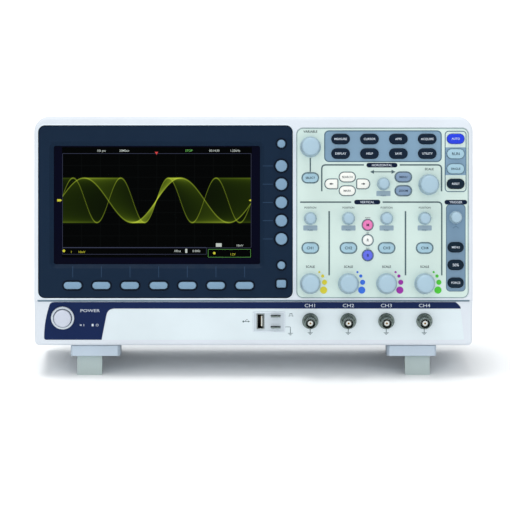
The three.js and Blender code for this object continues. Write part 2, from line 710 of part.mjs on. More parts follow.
function usbDevicePort() {
  const mouth = DEPTH + CONNECTOR_PROUD;
  const tongue = box(
    USB_DEVICE.x - 2.8, USB_DEVICE.x + 2.8, mouth - USB_DEVICE.hollow - 1, mouth - 4,
    USB_DEVICE.z + 1, USB_DEVICE.z + 4.2,
  );
  return rearConnector(USB_DEVICE, USB_DEVICE.wall, USB_DEVICE.hollow, [tongue]);
}

function powerButton() {
  const z = -POWER.down;
  const r = POWER.radius;
  const profile = [
    [0, POWER.front],
    [r - POWER.bevel, POWER.front],
    [r, POWER.front + POWER.bevel],
    [r, POWER.flangeFront],
    [r + POWER.flange, POWER.flangeFront],
    [r + POWER.flange, POWER.flangeBack],
    [POWER.stem, POWER.flangeBack],
    [POWER.stem, POWER.back],
    [0, POWER.back],
  ];
  return turned(profile, POWER.x, z, 16);
}

// -------------------------------------------------------------------- the inside

const BOARD_THICK = 1.6;
const KEYPAD_BOARD_Y = 11.4;
const MAIN_BOARD_Y = 26;
const SUPPLY_BOARD_Y = 60;
const CHASSIS = { half: 182, bottom: 44, top: 182, front: 18, lip: 24, thick: 1.2 };

// The board behind the control face carries the twelve encoders and their shafts.
function keypadBoard() {
  const y = KEYPAD_BOARD_Y;
  const sheet = box(40, 184, y, y + BOARD_THICK, 44, 186);
  const encoders = knobs.flatMap(({ x, z, size }) => {
    const half = size === BIG_KNOB ? 6 : 4.6;
    return [
      box(x - half, x + half, 6, y + 0.2, z - half, z + half),
      rod(SHAFT_RADIUS, SHAFT_TIP, y, x, z, 10),
    ];
  });
  return joined([sheet, ...encoders]);
}

const mainBoard = () => joined([
  box(-170, 170, MAIN_BOARD_Y, MAIN_BOARD_Y + BOARD_THICK, 9, 176),
  box(40, 160, 27, 36, 12, 44), // screened input stages
  box(-20, 20, 27, 33, 70, 110), // processor and its heat sink
  box(-110, -60, 27, 32, 60, 100),
]);

const powerSupply = () => joined([
  box(60, 172, SUPPLY_BOARD_Y, SUPPLY_BOARD_Y + BOARD_THICK, 12, 76),
  box(70, 104, 61, 88, 20, 54), // transformer
  box(110, 128, 61, 86, 56, 72), // reservoir capacitors
  box(134, 164, 61, 80, 20, 60), // mains filter
]);

// A steel plate with its top and side edges folded back.
function chassisPlate() {
  const { half, bottom, top, front, lip, thick } = CHASSIS;
  return joined([
    box(-half, half, front, front + thick, bottom, top),
    box(-half, half, front, lip, top - thick, top),
    box(-half, thick - half, front, lip, bottom, top),
    box(half - thick, half, front, lip, bottom, top),
  ]);
}

// ------------------------------------------------------------------ put together

addPart(instrument, "front_housing", frontHousing(), materials.housing);
addPart(instrument, "display_bezel", displayBezel(), materials.bezel);
addPart(
  instrument, "screen_window",
  behindScreen(SCREEN_WINDOW, BEZEL_BACK + GAP, BEZEL_BACK + GAP + SCREEN_WINDOW.thick),
  materials.glass,
);
addPart(instrument, "rear_case", rearCase(), materials.housing);
addPart(instrument, "handle", handle(), materials.leg);

for (const [word, side] of [["left", -1], ["right", 1]]) {
  addPart(instrument, `front_foot_${word}`, frontFoot(side), materials.housing);
  addPart(instrument, `tilt_leg_${word}`, tiltLeg(side), materials.leg);
  addPart(instrument, `rear_foot_${word}`, rearFoot(side), materials.rubber);
}

knobs.forEach(addKnob);
singleKeys.forEach((k) => addKey(k, CONTROL_RECESS, FACE_BACK));
addKeypad("function_keypad", functionKeys, CONTROL_RECESS, FACE_BACK);
addKeypad("search_keypad", navKeys, CONTROL_RECESS, FACE_BACK);
addKeypad("soft_keypad", softKeys, BEZEL_FRONT, BEZEL_BACK);
addKeypad("side_keypad", sideKeys, BEZEL_FRONT, BEZEL_BACK);

addPart(inputPanel, "power_button", powerButton(), materials.power);
addPart(inputPanel, "usb_host_port", usbHostPort(), materials.nickel);
addPart(inputPanel, "probe_hook", hook(HOOK.probeDown), materials.nickel);
addPart(inputPanel, "ground_hook", hook(HOOK.groundDown), materials.nickel);
channelX.forEach((x, i) =>
  addPart(inputPanel, `input_jack_${i + 1}`, bayonetJack(x), materials.nickel));

addPart(instrument, "mains_inlet", mainsInlet(), materials.blackPlastic);
addPart(instrument, "lan_port", lanPort(), materials.steel);
addPart(instrument, "usb_device_port", usbDevicePort(), materials.steel);

addPart(
  instrument, "display_module",
  behindScreen(DISPLAY_MODULE, DISPLAY_MODULE.front, DISPLAY_MODULE.back),
  materials.glass,
);
addPart(instrument, "keypad_board", keypadBoard(), materials.board);
addPart(instrument, "main_board", mainBoard(), materials.board);
addPart(instrument, "power_supply", powerSupply(), materials.board);
addPart(instrument, "chassis_plate", chassisPlate(), materials.steel);

// Lean back onto the tilt legs, then put the origin under the middle of the part.
instrument.rotation.x = -LEAN;
oscilloscope.updateMatrixWorld(true);
const bounds = new THREE.Box3().setFromObject(oscilloscope, true);
const middle = bounds.getCenter(new THREE.Vector3());
instrument.position.set(-middle.x, -middle.y, -bounds.min.z);

export default oscilloscope;
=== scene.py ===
"""Looks for a bench oscilloscope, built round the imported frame.

Pieces are drawn in the instrument's own frame, in millimetres: X to its right, Y from its front to
its back, Z up, with Z = 0 at the underside of the case and Y = 0 at the front rim. The input panel
slopes, so its pieces are drawn in a frame of its own, with Y = 0 on its face and Z running up it.
piece() moves them all into the row's frame, where the instrument leans back on its legs.
"""

import json
import math

import bmesh
import bpy
import numpy as np
from mathutils import Matrix, Vector


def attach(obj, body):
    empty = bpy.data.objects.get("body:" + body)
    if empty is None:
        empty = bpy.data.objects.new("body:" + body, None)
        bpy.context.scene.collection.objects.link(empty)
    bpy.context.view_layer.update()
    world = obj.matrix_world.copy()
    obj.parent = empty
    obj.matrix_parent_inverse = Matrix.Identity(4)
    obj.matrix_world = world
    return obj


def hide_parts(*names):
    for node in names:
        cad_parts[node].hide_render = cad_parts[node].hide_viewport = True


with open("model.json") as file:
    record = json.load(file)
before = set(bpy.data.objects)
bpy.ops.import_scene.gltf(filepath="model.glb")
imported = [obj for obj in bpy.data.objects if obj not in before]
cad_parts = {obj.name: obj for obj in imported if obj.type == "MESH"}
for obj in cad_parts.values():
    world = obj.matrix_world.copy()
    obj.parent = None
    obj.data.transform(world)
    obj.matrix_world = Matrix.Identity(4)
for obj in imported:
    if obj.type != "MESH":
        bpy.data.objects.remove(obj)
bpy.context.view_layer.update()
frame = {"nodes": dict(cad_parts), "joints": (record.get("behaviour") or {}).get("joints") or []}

# ---------------------------------------------------------------- dimensions

MM = 0.001
WIDTH = 380
HEIGHT = 198.2
DEPTH = 113
WALL = 2.6
HOUSING_DEPTH = 30
TOP_CORNER = 13
BOTTOM_CORNER = 4
FRONT_EDGE = 3
REAR_EDGE = 8
SEAM = 0.8  # how far the rear case is set in from the housing

FACE_BOTTOM = 39.4
INPUT_TOP = 37.7
STEP_BACK = 2.2
FACE_WALL = 3.3  # from the front rim to the back of the face
CONTROL_RECESS = 0.8
OVERLAY_FRONT = 0.4
BLOCK_FRONT = OVERLAY_FRONT - 0.04  # the front of the blue areas on the overlay
GAP = 0.35  # round whatever comes through a hole

KEY_GROW = 0.8  # how far a key's flange stands out beyond its cap
SHEET_GROW = 1.4  # how far a keypad's sheet stands out beyond its caps
KEY_PROUD = 2
KEY_EDGE = 0.9
KEY_CROWN = 0.35  # how far a cap's front swells
FLANGE = 1.2
THROUGH = -3, 8  # the front and back of a cutter that goes through the face
SLOPE_THROUGH = -3, 7
FILM_THROUGH = -3, 3

INK = 0.05  # thickness of anything printed
PRINT_FRONT = BLOCK_FRONT - INK


# -------------------------------------------------------------------- frames

JOINTS = {joint["name"]: joint for joint in frame["joints"]}


def tilt_of(joint_name):
    """How far a joint's axis is turned down from +Y, in radians."""
    axis = Vector(JOINTS[joint_name]["axis"])
    return math.atan2(-axis.z, axis.y)


LEAN = tilt_of("select_key_press")
SLOPE = LEAN - tilt_of("power_button_press")
TURN = Matrix.Rotation(-LEAN, 4, "X")


def box_in(turn, node):
    """The lowest and highest corner of a CAD node in another frame."""
    back = turn.inverted()
    points = [back @ v.co for v in frame["nodes"][node].data.vertices]
    low = Vector([min(p[i] for p in points) for i in range(3)])
    high = Vector([max(p[i] for p in points) for i in range(3)])
    return low, high


HOUSING_LOW = box_in(TURN, "front_housing")[0]
TO_ROW = (
    TURN
    @ Matrix.Translation((0, HOUSING_LOW.y, HOUSING_LOW.z))
    @ Matrix.Scale(MM, 4)
)
PANEL = TO_ROW @ Matrix.Translation((0, STEP_BACK, INPUT_TOP)) @ Matrix.Rotation(SLOPE, 4, "X")


def place_of(node, turn=TO_ROW):
    """A node's middle in X and Z, and its size in X and Z."""
    low, high = box_in(turn, node)
    return (low.x + high.x) / 2, (low.z + high.z) / 2, high.x - low.x, high.z - low.z


# ------------------------------------------------------------------ outlines


class RoundRect:
    """A rectangle with rounded corners, as seen from the front."""

    def __init__(self, x, z, width, height, radii, steps=6):
        self.x, self.z, self.width, self.height = x, z, width, height
        self.radii = list(radii) if hasattr(radii, "__len__") else [radii] * 4
        self.steps = steps

    @classmethod
    def between(cls, left, right, bottom, top, radii, steps=6):
        middle = (left + right) / 2, (bottom + top) / 2
        return cls(*middle, right - left, top - bottom, radii, steps)

    def grown(self, by):
        radii = [r + by for r in self.radii]
        return RoundRect(
            self.x, self.z, self.width + 2 * by, self.height + 2 * by, radii, self.steps
        )

    def deepest(self):
        """The largest inset that leaves anything."""
        return min(self.width, self.height) / 2 - 0.02

    def points(self, inset=0.0):
        half_x, half_z = self.width / 2 - inset, self.height / 2 - inset
        out = []
        for corner, (side_x, side_z) in enumerate([(-1, -1), (1, -1), (1, 1), (-1, 1)]):
            radius = max(self.radii[corner] - inset, 0.01)
            radius = min(radius, half_x, half_z)
            cx = self.x + side_x * (half_x - radius)
            cz = self.z + side_z * (half_z - radius)
            for i in range(self.steps + 1):
                angle = math.pi * (1 + corner / 2 + i / self.steps / 2)
                out.append((cx + radius * math.cos(angle), cz + radius * math.sin(angle)))
        return out


def circle(x, z, radius, steps=12):
    return RoundRect(x, z, 2 * radius, 2 * radius, radius, steps)


# ------------------------------------------------------------------- solids


def loft(loops, cap_first=True, cap_last=True):
    """A skin over loops of the same number of points, closed at its ends."""
    bm = bmesh.new()
    rows = [[bm.verts.new(point) for point in loop] for loop in loops]
    count = len(rows[0])
    for a, b in zip(rows, rows[1:]):
        for i in range(count):
            j = (i + 1) % count
            bm.faces.new((a[i], a[j], b[j], b[i]))
    if cap_first:
        bm.faces.new(rows[0])
    if cap_last:
        bm.faces.new(rows[-1])
    bmesh.ops.recalc_face_normals(bm, faces=bm.faces)
    return bm


def stepped(shape, profile, closed=False):
    """A skin round a shape through steps of (inset, y). A closed profile makes a ring, not a solid."""
    loops = [[(x, y, z) for x, z in shape.points(inset)] for inset, y in profile]
    return loft(loops, cap_first=not closed, cap_last=not closed)


def prism(shape, front, back, grow=0.0):
    return stepped(shape, ((-grow, back), (-grow, front)))


def box(x0, x1, y0, y1, z0, z1):
    return prism(RoundRect.between(x0, x1, z0, z1, 0.0, 1), y0, y1)


def pad(shape, front, back, edge, crown=0.0, rings=4):
    """A block with a rounded front edge and a front that swells by crown."""
    loops = [(0.0, back), (0.0, front + edge)]
    for i in range(1, rings + 1):
        angle = math.pi / 2 * i / rings
        loops.append((edge * (1 - math.cos(angle)), front + edge * (1 - math.sin(angle))))
    deepest = shape.deepest()
    if crown:
        for i in range(1, rings + 1):
            reach = i / rings
            loops.append((edge + (deepest - edge) * reach, front - crown * reach * (2 - reach)))
    return stepped(shape, loops)


def pad_back(shape, back, front, edge, rings=3, inset=0.0):
    """A block with a rounded back edge, its sides inset from the shape."""
    loops = [(inset, front), (inset, back - edge)]
    for i in range(1, rings + 1):
        angle = math.pi / 2 * i / rings
        loops.append((inset + edge * (1 - math.cos(angle)), back - edge * (1 - math.sin(angle))))
    return stepped(shape, loops)


def rod(x0, x1, y, z, radius, steps):
    """A round bar along X."""
    angles = [2 * math.pi * i / steps for i in range(steps)]
    around = [(y + radius * math.cos(a), z + radius * math.sin(a)) for a in angles]
    return loft([[(x, *point) for point in around] for x in (x0, x1)])


def turned(profile, x=0.0, z=0.0, segments=64, ripple=None):
    """A profile of (radius, y) turned about the Y axis; ripple(angle, y) scales its radius."""
    bm = bmesh.new()
    rows = []
    for radius, y in profile:
        if radius < 1e-6:
            rows.append([bm.verts.new((x, y, z))])
            continue
        row = []
        for i in range(segments):
            angle = 2 * math.pi * i / segments
            r = radius * (ripple(angle, y) if ripple else 1)
            row.append(bm.verts.new((x + r * math.cos(angle), y, z + r * math.sin(angle))))
        rows.append(row)
    for a, b in zip(rows, rows[1:]):
        for i in range(segments):
            j = (i + 1) % segments
            corners = [a[i % len(a)], a[j % len(a)], b[j % len(b)], b[i % len(b)]]
            corners = list(dict.fromkeys(corners))
            if len(corners) > 2:
                bm.faces.new(corners)
    bmesh.ops.recalc_face_normals(bm, faces=bm.faces)
    return bm


def arc(cx, cy, radius, start, end, steps=5):
    """Points of an arc, its angles in degrees from the first axis towards the second."""
    out = []
    for i in range(steps + 1):
        angle = math.radians(start + (end - start) * i / steps)
        out.append((cx + radius * math.cos(angle), cy + radius * math.sin(angle)))
    return out


def mesh_of(bm, name="scratch"):
    mesh = bpy.data.meshes.new(name)
    bm.to_mesh(mesh)
    bm.free()
    return mesh


def moved(bm, turn):
    bmesh.ops.transform(bm, matrix=turn, verts=bm.verts)
    return bm


def together(parts):
    """Several solids as one mesh."""
    whole = bmesh.new()
    for part in parts:
        mesh = mesh_of(part)
        whole.from_mesh(mesh)
        bpy.data.meshes.remove(mesh)
    return whole


def boolean(bm, tool, operation="DIFFERENCE"):
    """bm with tool cut from it, or joined or kept."""
    objects = []
    for part in (bm, tool):
        obj = bpy.data.objects.new("scratch", mesh_of(part))
        bpy.context.scene.collection.objects.link(obj)
        objects.append(obj)
    modifier = objects[0].modifiers.new("boolean", "BOOLEAN")
    modifier.operation = operation
    modifier.solver = "EXACT"
    modifier.object = objects[1]
    graph = bpy.context.evaluated_depsgraph_get()
    made = bpy.data.meshes.new_from_object(objects[0].evaluated_get(graph))
    out = bmesh.new()
    out.from_mesh(made)
    bpy.data.meshes.remove(made)
    for obj in objects:
        mesh = obj.data
        bpy.data.objects.remove(obj)
        bpy.data.meshes.remove(mesh)
    return out


def cut(bm, tools):
    return boolean(bm, together(tools))


def piece(name, bm, material, body="case", stands_for=(), turn=TO_ROW, sharp=35, even=False):
    """Makes a solid drawn in a frame into a piece of the object."""
    mesh = mesh_of(bm, name)
    mesh.transform(turn)
    mesh.materials.append(material)
    mesh.shade_smooth()
    mesh.set_sharp_from_angle(angle=math.radians(sharp))
    obj = bpy.data.objects.new(name, mesh)
    bpy.context.scene.collection.objects.link(obj)
    if even:
        modifier = obj.modifiers.new("even", "WEIGHTED_NORMAL")
        modifier.keep_sharp = True
    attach(obj, body)
    if stands_for:
        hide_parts(*stands_for)
    return obj


def printed(name, parts, ink, body="case", turn=TO_ROW):
    """Lines, words and patches of one ink, as one piece."""
    return piece(name, together(parts), ink, body, turn=turn)


def shown(name, parts, light):
    """What is lit in one colour on the display, as one piece."""
    return piece(name, together(parts), light, "case")


# ------------------------------------------------------------------ printing


def ribbon(points, width, y):
    """A printed line of one width through points (x, z)."""
    bm = bmesh.new()
    path = [Vector(p) for p in points]
    left, right = [], []
    for i, p in enumerate(path):
        before = (p - path[i - 1]).normalized() if i else None
        after = (path[i + 1] - p).normalized() if i + 1 < len(path) else None
        ahead = ((before or after) + (after or before)).normalized()
        side = Vector((-ahead.y, ahead.x))
        reach = width / 2 / max(0.5, side.dot(Vector((-(after or before).y, (after or before).x))))
        left.append(bm.verts.new((p.x + side.x * reach, y, p.y + side.y * reach)))
        right.append(bm.verts.new((p.x - side.x * reach, y, p.y - side.y * reach)))
    for i in range(len(path) - 1):
        bm.faces.new((right[i], right[i + 1], left[i + 1], left[i]))
    return bm


def ring(shape, width, y):
    """A printed line of one width round the outside of a shape."""
    return stepped(shape, ((-width, y), (0, y)), closed=True)


def polygon(points, y):
    bm = bmesh.new()
    bm.faces.new([bm.verts.new((x, y, z)) for x, z in points])
    return bm


def patch(shape, y):
    """A flat printed area."""
    return polygon(shape.points(), y)


TEXT_UP = Matrix.Rotation(math.pi / 2, 4, "X")
CAP_SHARE = 0.69  # a capital's height as a share of the font's size
LEGEND = 1.9  # height of the words over knobs
LIGHT, BOLD = 0.02, 0.03  # how much lettering is thickened


def words(body, x, z, height, y, bold=0.0, wide=1.0):
    """Flat lettering centred on (x, z), with capitals of this height, stretched sideways by wide."""
    curve = bpy.data.curves.new("lettering", "FONT")
    curve.body = body
    curve.size = height / CAP_SHARE
    curve.align_x = "CENTER"
    curve.offset = bold
    curve.resolution_u = 3
    obj = bpy.data.objects.new("lettering", curve)
    bpy.context.scene.collection.objects.link(obj)
    graph = bpy.context.evaluated_depsgraph_get()
    mesh = bpy.data.meshes.new_from_object(obj.evaluated_get(graph))
    bm = bmesh.new()
    bm.from_mesh(mesh)
    bmesh.ops.transform(bm, matrix=TEXT_UP @ Matrix.Scale(wide, 4, (1, 0, 0)), verts=bm.verts)
    bmesh.ops.translate(bm, vec=(x, y, z - height / 2), verts=bm.verts)
    bpy.data.objects.remove(obj)
    bpy.data.curves.remove(curve)
    bpy.data.meshes.remove(mesh)
    return bm


def arrow(x, z, length, height, y, way=1):
    """A solid arrowhead pointing right, or left where way is -1."""
    tip, tail = x + way * length / 2, x - way * length / 2
    return polygon([(tail, z - height / 2), (tip, z), (tail, z + height / 2)][::way], y)


# ----------------------------------------------------------------- materials


def srgb(red, green, blue):
    """A colour named by its display values, 0 to 255, as linear light."""
    values = [c / 255 for c in (red, green, blue)]
    linear = [c / 12.92 if c <= 0.04045 else ((c + 0.055) / 1.055) ** 2.4 for c in values]
    return (*linear, 1.0)


def blank(name):
    """A new material, its node tree and its shader."""
    material = bpy.data.materials.new(name)
    material.use_nodes = True
    tree = material.node_tree
    return material, tree, tree.nodes["Principled BSDF"]


def noise(tree, feature_mm, detail=3.0):
    """A noise whose features are about this size, in the row's own space."""
    coordinates = tree.nodes.new("ShaderNodeTexCoord")
    texture = tree.nodes.new("ShaderNodeTexNoise")
    texture.inputs["Scale"].default_value = 1 / (feature_mm * MM)
    texture.inputs["Detail"].default_value = detail
    tree.links.new(coordinates.outputs["Object"], texture.inputs["Vector"])
    return texture.outputs["Fac"]


def ranged(tree, value, low, high):
    """A noise's middle range, spread from low to high."""
    node = tree.nodes.new("ShaderNodeMapRange")
    node.inputs["From Min"].default_value = 0.3
    node.inputs["From Max"].default_value = 0.7
    node.inputs["To Min"].default_value = low
    node.inputs["To Max"].default_value = high
    tree.links.new(value, node.inputs["Value"])
    return node.outputs["Result"]


def mixed(tree, factor, first, second):
    """Two colours mixed. Each input is a value or a socket."""
    node = tree.nodes.new("ShaderNodeMix")
    node.data_type = "RGBA"
    node.clamp_factor = True
    sockets = {
        key: next(i for i in node.inputs if i.enabled and i.name == key) for key in ("Factor", "A", "B")
    }
    for key, value in (("Factor", factor), ("A", first), ("B", second)):
        if isinstance(value, tuple):
            sockets[key].default_value = value
        else:
            tree.links.new(value, sockets[key])
    return next(o for o in node.outputs if o.enabled and o.name == "Result")


def scaled(color, by):
    return (*[min(1.0, c * by) for c in color[:3]], 1.0)


def textured(tree, shader, roughness, spread, grain_mm, grain):
    """Gloss that varies a little from place to place, and a fine grain."""
    gloss = ranged(tree, noise(tree, 9, 4), roughness - spread, roughness + spread)
    tree.links.new(gloss, shader.inputs["Roughness"])
    bump = tree.nodes.new("ShaderNodeBump")
    bump.inputs["Strength"].default_value = grain
    bump.inputs["Distance"].default_value = 0.05 * MM
    tree.links.new(noise(tree, grain_mm, 2), bump.inputs["Height"])
    tree.links.new(bump.outputs["Normal"], shader.inputs["Normal"])


def surface(
    name, color, roughness=0.45, spread=0.06, tone=0.03, grain_mm=0.4, grain=0.12, metallic=0.0,
    specular=0.5, rim=0.0,
):
    """A plain material with a little variation in tone and gloss, and a fine grain.

    rim is painted shade: it darkens what is seen edge on, as the rounded edges of pale mouldings look when
    they turn from the light.
    """
    material, tree, shader = blank(name)
    clouds = ranged(tree, noise(tree, 38), 0, 1)
    tint = mixed(tree, clouds, scaled(color, 1 - tone), scaled(color, 1 + tone))
    # painted shade: surfaces seen edge on are mixed towards a darker copy of the colour
    if rim:
        edge = tree.nodes.new("ShaderNodeLayerWeight")
        edge.inputs["Blend"].default_value = 0.35
        tint = mixed(tree, edge.outputs["Facing"], tint, scaled(color, 1 - rim))
    tree.links.new(tint, shader.inputs["Base Color"])
    textured(tree, shader, roughness, spread, grain_mm, grain)
    shader.inputs["Metallic"].default_value = metallic
    shader.inputs["Specular IOR Level"].default_value = specular
    return material


def lit(name):
    """The dark gloss of the display, ready for its light."""
    material, tree, shader = blank(name)
    shader.inputs["Base Color"].default_value = (0.001, 0.001, 0.001, 1)
    shader.inputs["Specular IOR Level"].default_value = 0.015
    shader.inputs["Emission Strength"].default_value = 1.0
    textured(tree, shader, 0.2, 0.03, 1.5, 0.03)
    return material, tree, shader


def glowing(name, color):
    """A lit part of the display, in one colour that varies a little."""
    material, tree, shader = lit(name)
    shade = mixed(tree, ranged(tree, noise(tree, 3), 0, 1), scaled(color, 0.94), color)
    tree.links.new(shade, shader.inputs["Emission Color"])
    return material


def lit_by_vertex(name, layer):
    """The trace: its colour is stored on the mesh, in this layer."""
    material, tree, shader = lit(name)
    attribute = tree.nodes.new("ShaderNodeAttribute")
    attribute.attribute_name = layer
    tree.links.new(attribute.outputs["Color"], shader.inputs["Emission Color"])
    return material


def circuit_board(name):
    """Green solder resist with fainter copper tracks under it."""
    material, tree, shader = blank(name)
    coordinates = tree.nodes.new("ShaderNodeTexCoord")
    tracks = tree.nodes.new("ShaderNodeTexBrick")
    tracks.inputs["Scale"].default_value = 90
    tracks.inputs["Mortar Size"].default_value = 0.04
    tracks.inputs["Color1"].default_value = srgb(20, 92, 58)
    tracks.inputs["Color2"].default_value = srgb(24, 102, 66)
    tracks.inputs["Mortar"].default_value = srgb(60, 140, 90)
    tree.links.new(coordinates.outputs["Object"], tracks.inputs["Vector"])
    tree.links.new(tracks.outputs["Color"], shader.inputs["Base Color"])
    textured(tree, shader, 0.4, 0.1, 0.8, 0.2)
    return material


GLASS = {"spread": 0.02, "tone": 0.05, "grain_mm": 1.5, "grain": 0.03}
# materials given rim carry painted shade on the edges seen edge on
MOULDED = surface("moulded_case", srgb(225, 232, 240), 0.52, grain=0.2, specular=0.3, rim=0.3)
BEZEL = surface("bezel_navy", srgb(17, 37, 59), 0.6, grain=0.14, specular=0.1)
BEZEL_LIP = surface("bezel_lip", srgb(224, 234, 242), 0.35)
BEZEL_PRINT = surface("bezel_print", srgb(46, 70, 98), 0.5, specular=0.1)
# painted shade: the near-black of flat rings that stand for the shadowed gaps round the bezel's keys
KEY_GAP_SHADE = surface("painted_key_gap_shade", srgb(8, 20, 36), 0.5, specular=0.08)
WINDOW = surface("display_window", srgb(2, 3, 24), 0.12, specular=0.04, **GLASS)
MINT = surface("control_overlay", srgb(214, 233, 226), 0.4, grain=0.08, specular=0.3)
SLATE = surface("slate_overlay", srgb(128, 160, 185), 0.4, grain=0.08, specular=0.3)
SLATE_DEEP = surface("trigger_overlay", srgb(118, 148, 173), 0.4, grain=0.08, specular=0.3)
# painted shade: the grey-teal of a line that stands for the shadowed groove round the control overlay
PANEL_GROOVE_SHADE = surface("painted_panel_groove_shade", srgb(122, 146, 154), 0.5)
# painted shade: the grey-blue of the strip laid over the step under the upright face
STEP_SHADE = surface("painted_step_shade", srgb(106, 128, 142), 0.6, specular=0.2)
LINE = surface("printed_line", srgb(80, 102, 108), 0.5, grain=0.05, specular=0.2)
EDGE_LINE = surface("printed_edge", srgb(76, 108, 128), 0.5, grain=0.05, specular=0.2)
NAVY = surface("navy_overlay", srgb(12, 34, 80), 0.34, grain=0.05, specular=0.12)
NAVY_DEEP = surface("navy_strip", srgb(7, 26, 54), 0.34, grain=0.05, specular=0.1)
INK_NAVY = surface("navy_ink", srgb(18, 36, 56), 0.5, grain=0.05, specular=0.15)
INK_WHITE = surface("white_ink", srgb(214, 224, 236), 0.5, grain=0.05)
PUSH_BAND = surface("push_band", srgb(150, 172, 186), 0.5, specular=0.2)
INPUT_WHITE = surface("input_overlay", srgb(226, 238, 243), 0.4, grain=0.06, specular=0.3)
PORT_PLATE = surface("port_plate", srgb(205, 216, 224), 0.45, specular=0.3)
PLATE_FILM = surface("plate_film", srgb(190, 200, 208), 0.35, specular=0.3)
KNOB = surface("knob_plastic", srgb(170, 198, 214), 0.42, grain=0.1, specular=0.4, rim=0.35)
SILICONE_BLUE = surface("silicone_slate", srgb(126, 158, 184), 0.5, grain=0.16, specular=0.25, rim=0.3)
SILICONE_NAVY = surface("silicone_navy", srgb(10, 30, 50), 0.45, grain=0.16, specular=0.12)
SILICONE_WHITE = surface("silicone_white", srgb(244, 246, 240), 0.48, grain=0.16, specular=0.3, rim=0.3)
KEY_LIGHT = surface("key_light", srgb(166, 202, 218), 0.4, specular=0.3, rim=0.4)
KEY_SLATE = surface("key_slate", srgb(130, 155, 184), 0.4, specular=0.3, rim=0.3)
KEY_NAVY = surface("key_navy", srgb(12, 34, 50), 0.38, specular=0.12)
KEY_BLUE = surface("key_blue", srgb(24, 58, 222), 0.36, specular=0.3)
KEY_PINK = surface("key_pink", srgb(238, 126, 188), 0.38, specular=0.3, rim=0.3)
KEY_VIOLET = surface("key_violet", srgb(98, 110, 232), 0.38, specular=0.3, rim=0.3)
KEY_PALE = surface("key_pale", srgb(242, 245, 242), 0.4, specular=0.3, rim=0.3)
POWER = surface("power_cap", srgb(206, 212, 226), 0.4, specular=0.3, rim=0.4)
RING = surface("power_ring", srgb(200, 208, 216), 0.28, metallic=0.8)
LEG = surface("leg_plastic", srgb(184, 199, 198), 0.55, grain=0.22, specular=0.2)
HANDLE = surface("handle_plastic", srgb(150, 166, 170), 0.55, grain=0.22, specular=0.3)
FOOT = surface("foot_plastic", srgb(196, 211, 225), 0.52, grain=0.2, specular=0.25, rim=0.35)
RUBBER = surface("foot_rubber", srgb(52, 56, 60), 0.8, grain=0.3)
NICKEL = surface("nickel_plate", srgb(112, 124, 120), 0.2, 0.06, metallic=1.0, grain=0.05)
CHROME = surface("bright_nickel", srgb(178, 186, 184), 0.24, 0.06, metallic=1.0, grain=0.05)
STEEL = surface("sheet_steel", srgb(178, 182, 184), 0.38, 0.08, metallic=1.0, grain=0.1)
GOLD = surface("gold_plate", srgb(222, 178, 92), 0.28, 0.05, metallic=1.0, grain=0.03)
INSULATOR = surface("white_insulator", srgb(232, 236, 232), 0.5)
BLACK = surface("black_plastic", srgb(22, 24, 27), 0.5, grain=0.18, specular=0.3)
DARK = surface("inner_dark", srgb(30, 34, 38), 0.7)
BOARD = circuit_board("circuit_board")
TRACE = lit_by_vertex("display_trace", "light")
FRAME_LINE = glowing("display_frame", srgb(58, 62, 84))
GRID = glowing("display_grid", srgb(9, 12, 12))
READOUT = glowing("display_readout", srgb(190, 198, 192))
READOUT_GREEN = glowing("display_accent", srgb(110, 190, 92))
READOUT_AMBER = glowing("display_marker", srgb(214, 70, 70))
READOUT_YELLOW = glowing("display_yellow", srgb(206, 204, 60))
FIELD = surface("display_field", srgb(2, 3, 3), 0.16, specular=0.015, **GLASS)


# --------------------------------------------------------------------- keys


def key_shape(node, radii=None):
    """A single key's cap, from its CAD node, whose flange stands out a little on each side."""
    x, z, width, height = place_of(node)
    width, height = width - 2 * KEY_GROW, height - 2 * KEY_GROW
    return RoundRect(x, z, width, height, radii or min(width, height) / 2)


def along(first, last, count):
    """Evenly spaced values, both ends included."""
    return [first + (last - first) * i / (count - 1) for i in range(count)]


SOFT_SIZE = 15.4, 6.1
FUNCTION_SIZE = 15.6, 8.6
OVAL_SIZE = 13.4, 7.8
ARROW_SIZE = 10.6, 7.8
ARROW_ROUND, ARROW_SQUARE = 3.8, 1  # an arrow key's outer and inner corners
PRINT_SIZE = 8.2, 6.6
MENU_OFF_RADIUS, MENU_RADIUS, OPTION_RADIUS = 3.45, 5, 3.35  # the round keys beside the screen
MENU_DROP, MENU_PITCH, OPTION_RISE = 19.2, 15.8, 16

pad_box = {name: box_in(TO_ROW, name) for name in
           ("soft_keypad", "side_keypad", "function_keypad", "search_keypad")}


def inner(name, size):
    """The middles of the outermost caps of a keypad: left, right, bottom and top."""
    low, high = pad_box[name]
    reach_x, reach_z = SHEET_GROW + size[0] / 2, SHEET_GROW + size[1] / 2
    return low.x + reach_x, high.x - reach_x, low.z + reach_z, high.z - reach_z


left, right, bottom, top = inner("soft_keypad", SOFT_SIZE)
SOFT_KEYS = [RoundRect(x, bottom, *SOFT_SIZE, SOFT_SIZE[1] / 2) for x in along(left, right, 7)]

left, right, bottom, top = inner("function_keypad", FUNCTION_SIZE)
FUNCTION_KEYS = [
    RoundRect(x, z, *FUNCTION_SIZE, FUNCTION_SIZE[1] / 2)
    for z in (top, bottom) for x in along(left, right, 4)
]

left, right, bottom, top = inner("search_keypad", (ARROW_SIZE[0], OVAL_SIZE[1]))
nav_x, nav_z = (left + right) / 2, (bottom + top) / 2
NAV_KEYS = [
    RoundRect(nav_x, top, *OVAL_SIZE, OVAL_SIZE[1] / 2),
    RoundRect(nav_x, bottom, *OVAL_SIZE, OVAL_SIZE[1] / 2),
    RoundRect(left, nav_z, *ARROW_SIZE, [ARROW_ROUND, ARROW_SQUARE, ARROW_SQUARE, ARROW_ROUND]),
    RoundRect(right, nav_z, *ARROW_SIZE, [ARROW_SQUARE, ARROW_ROUND, ARROW_ROUND, ARROW_SQUARE]),
]

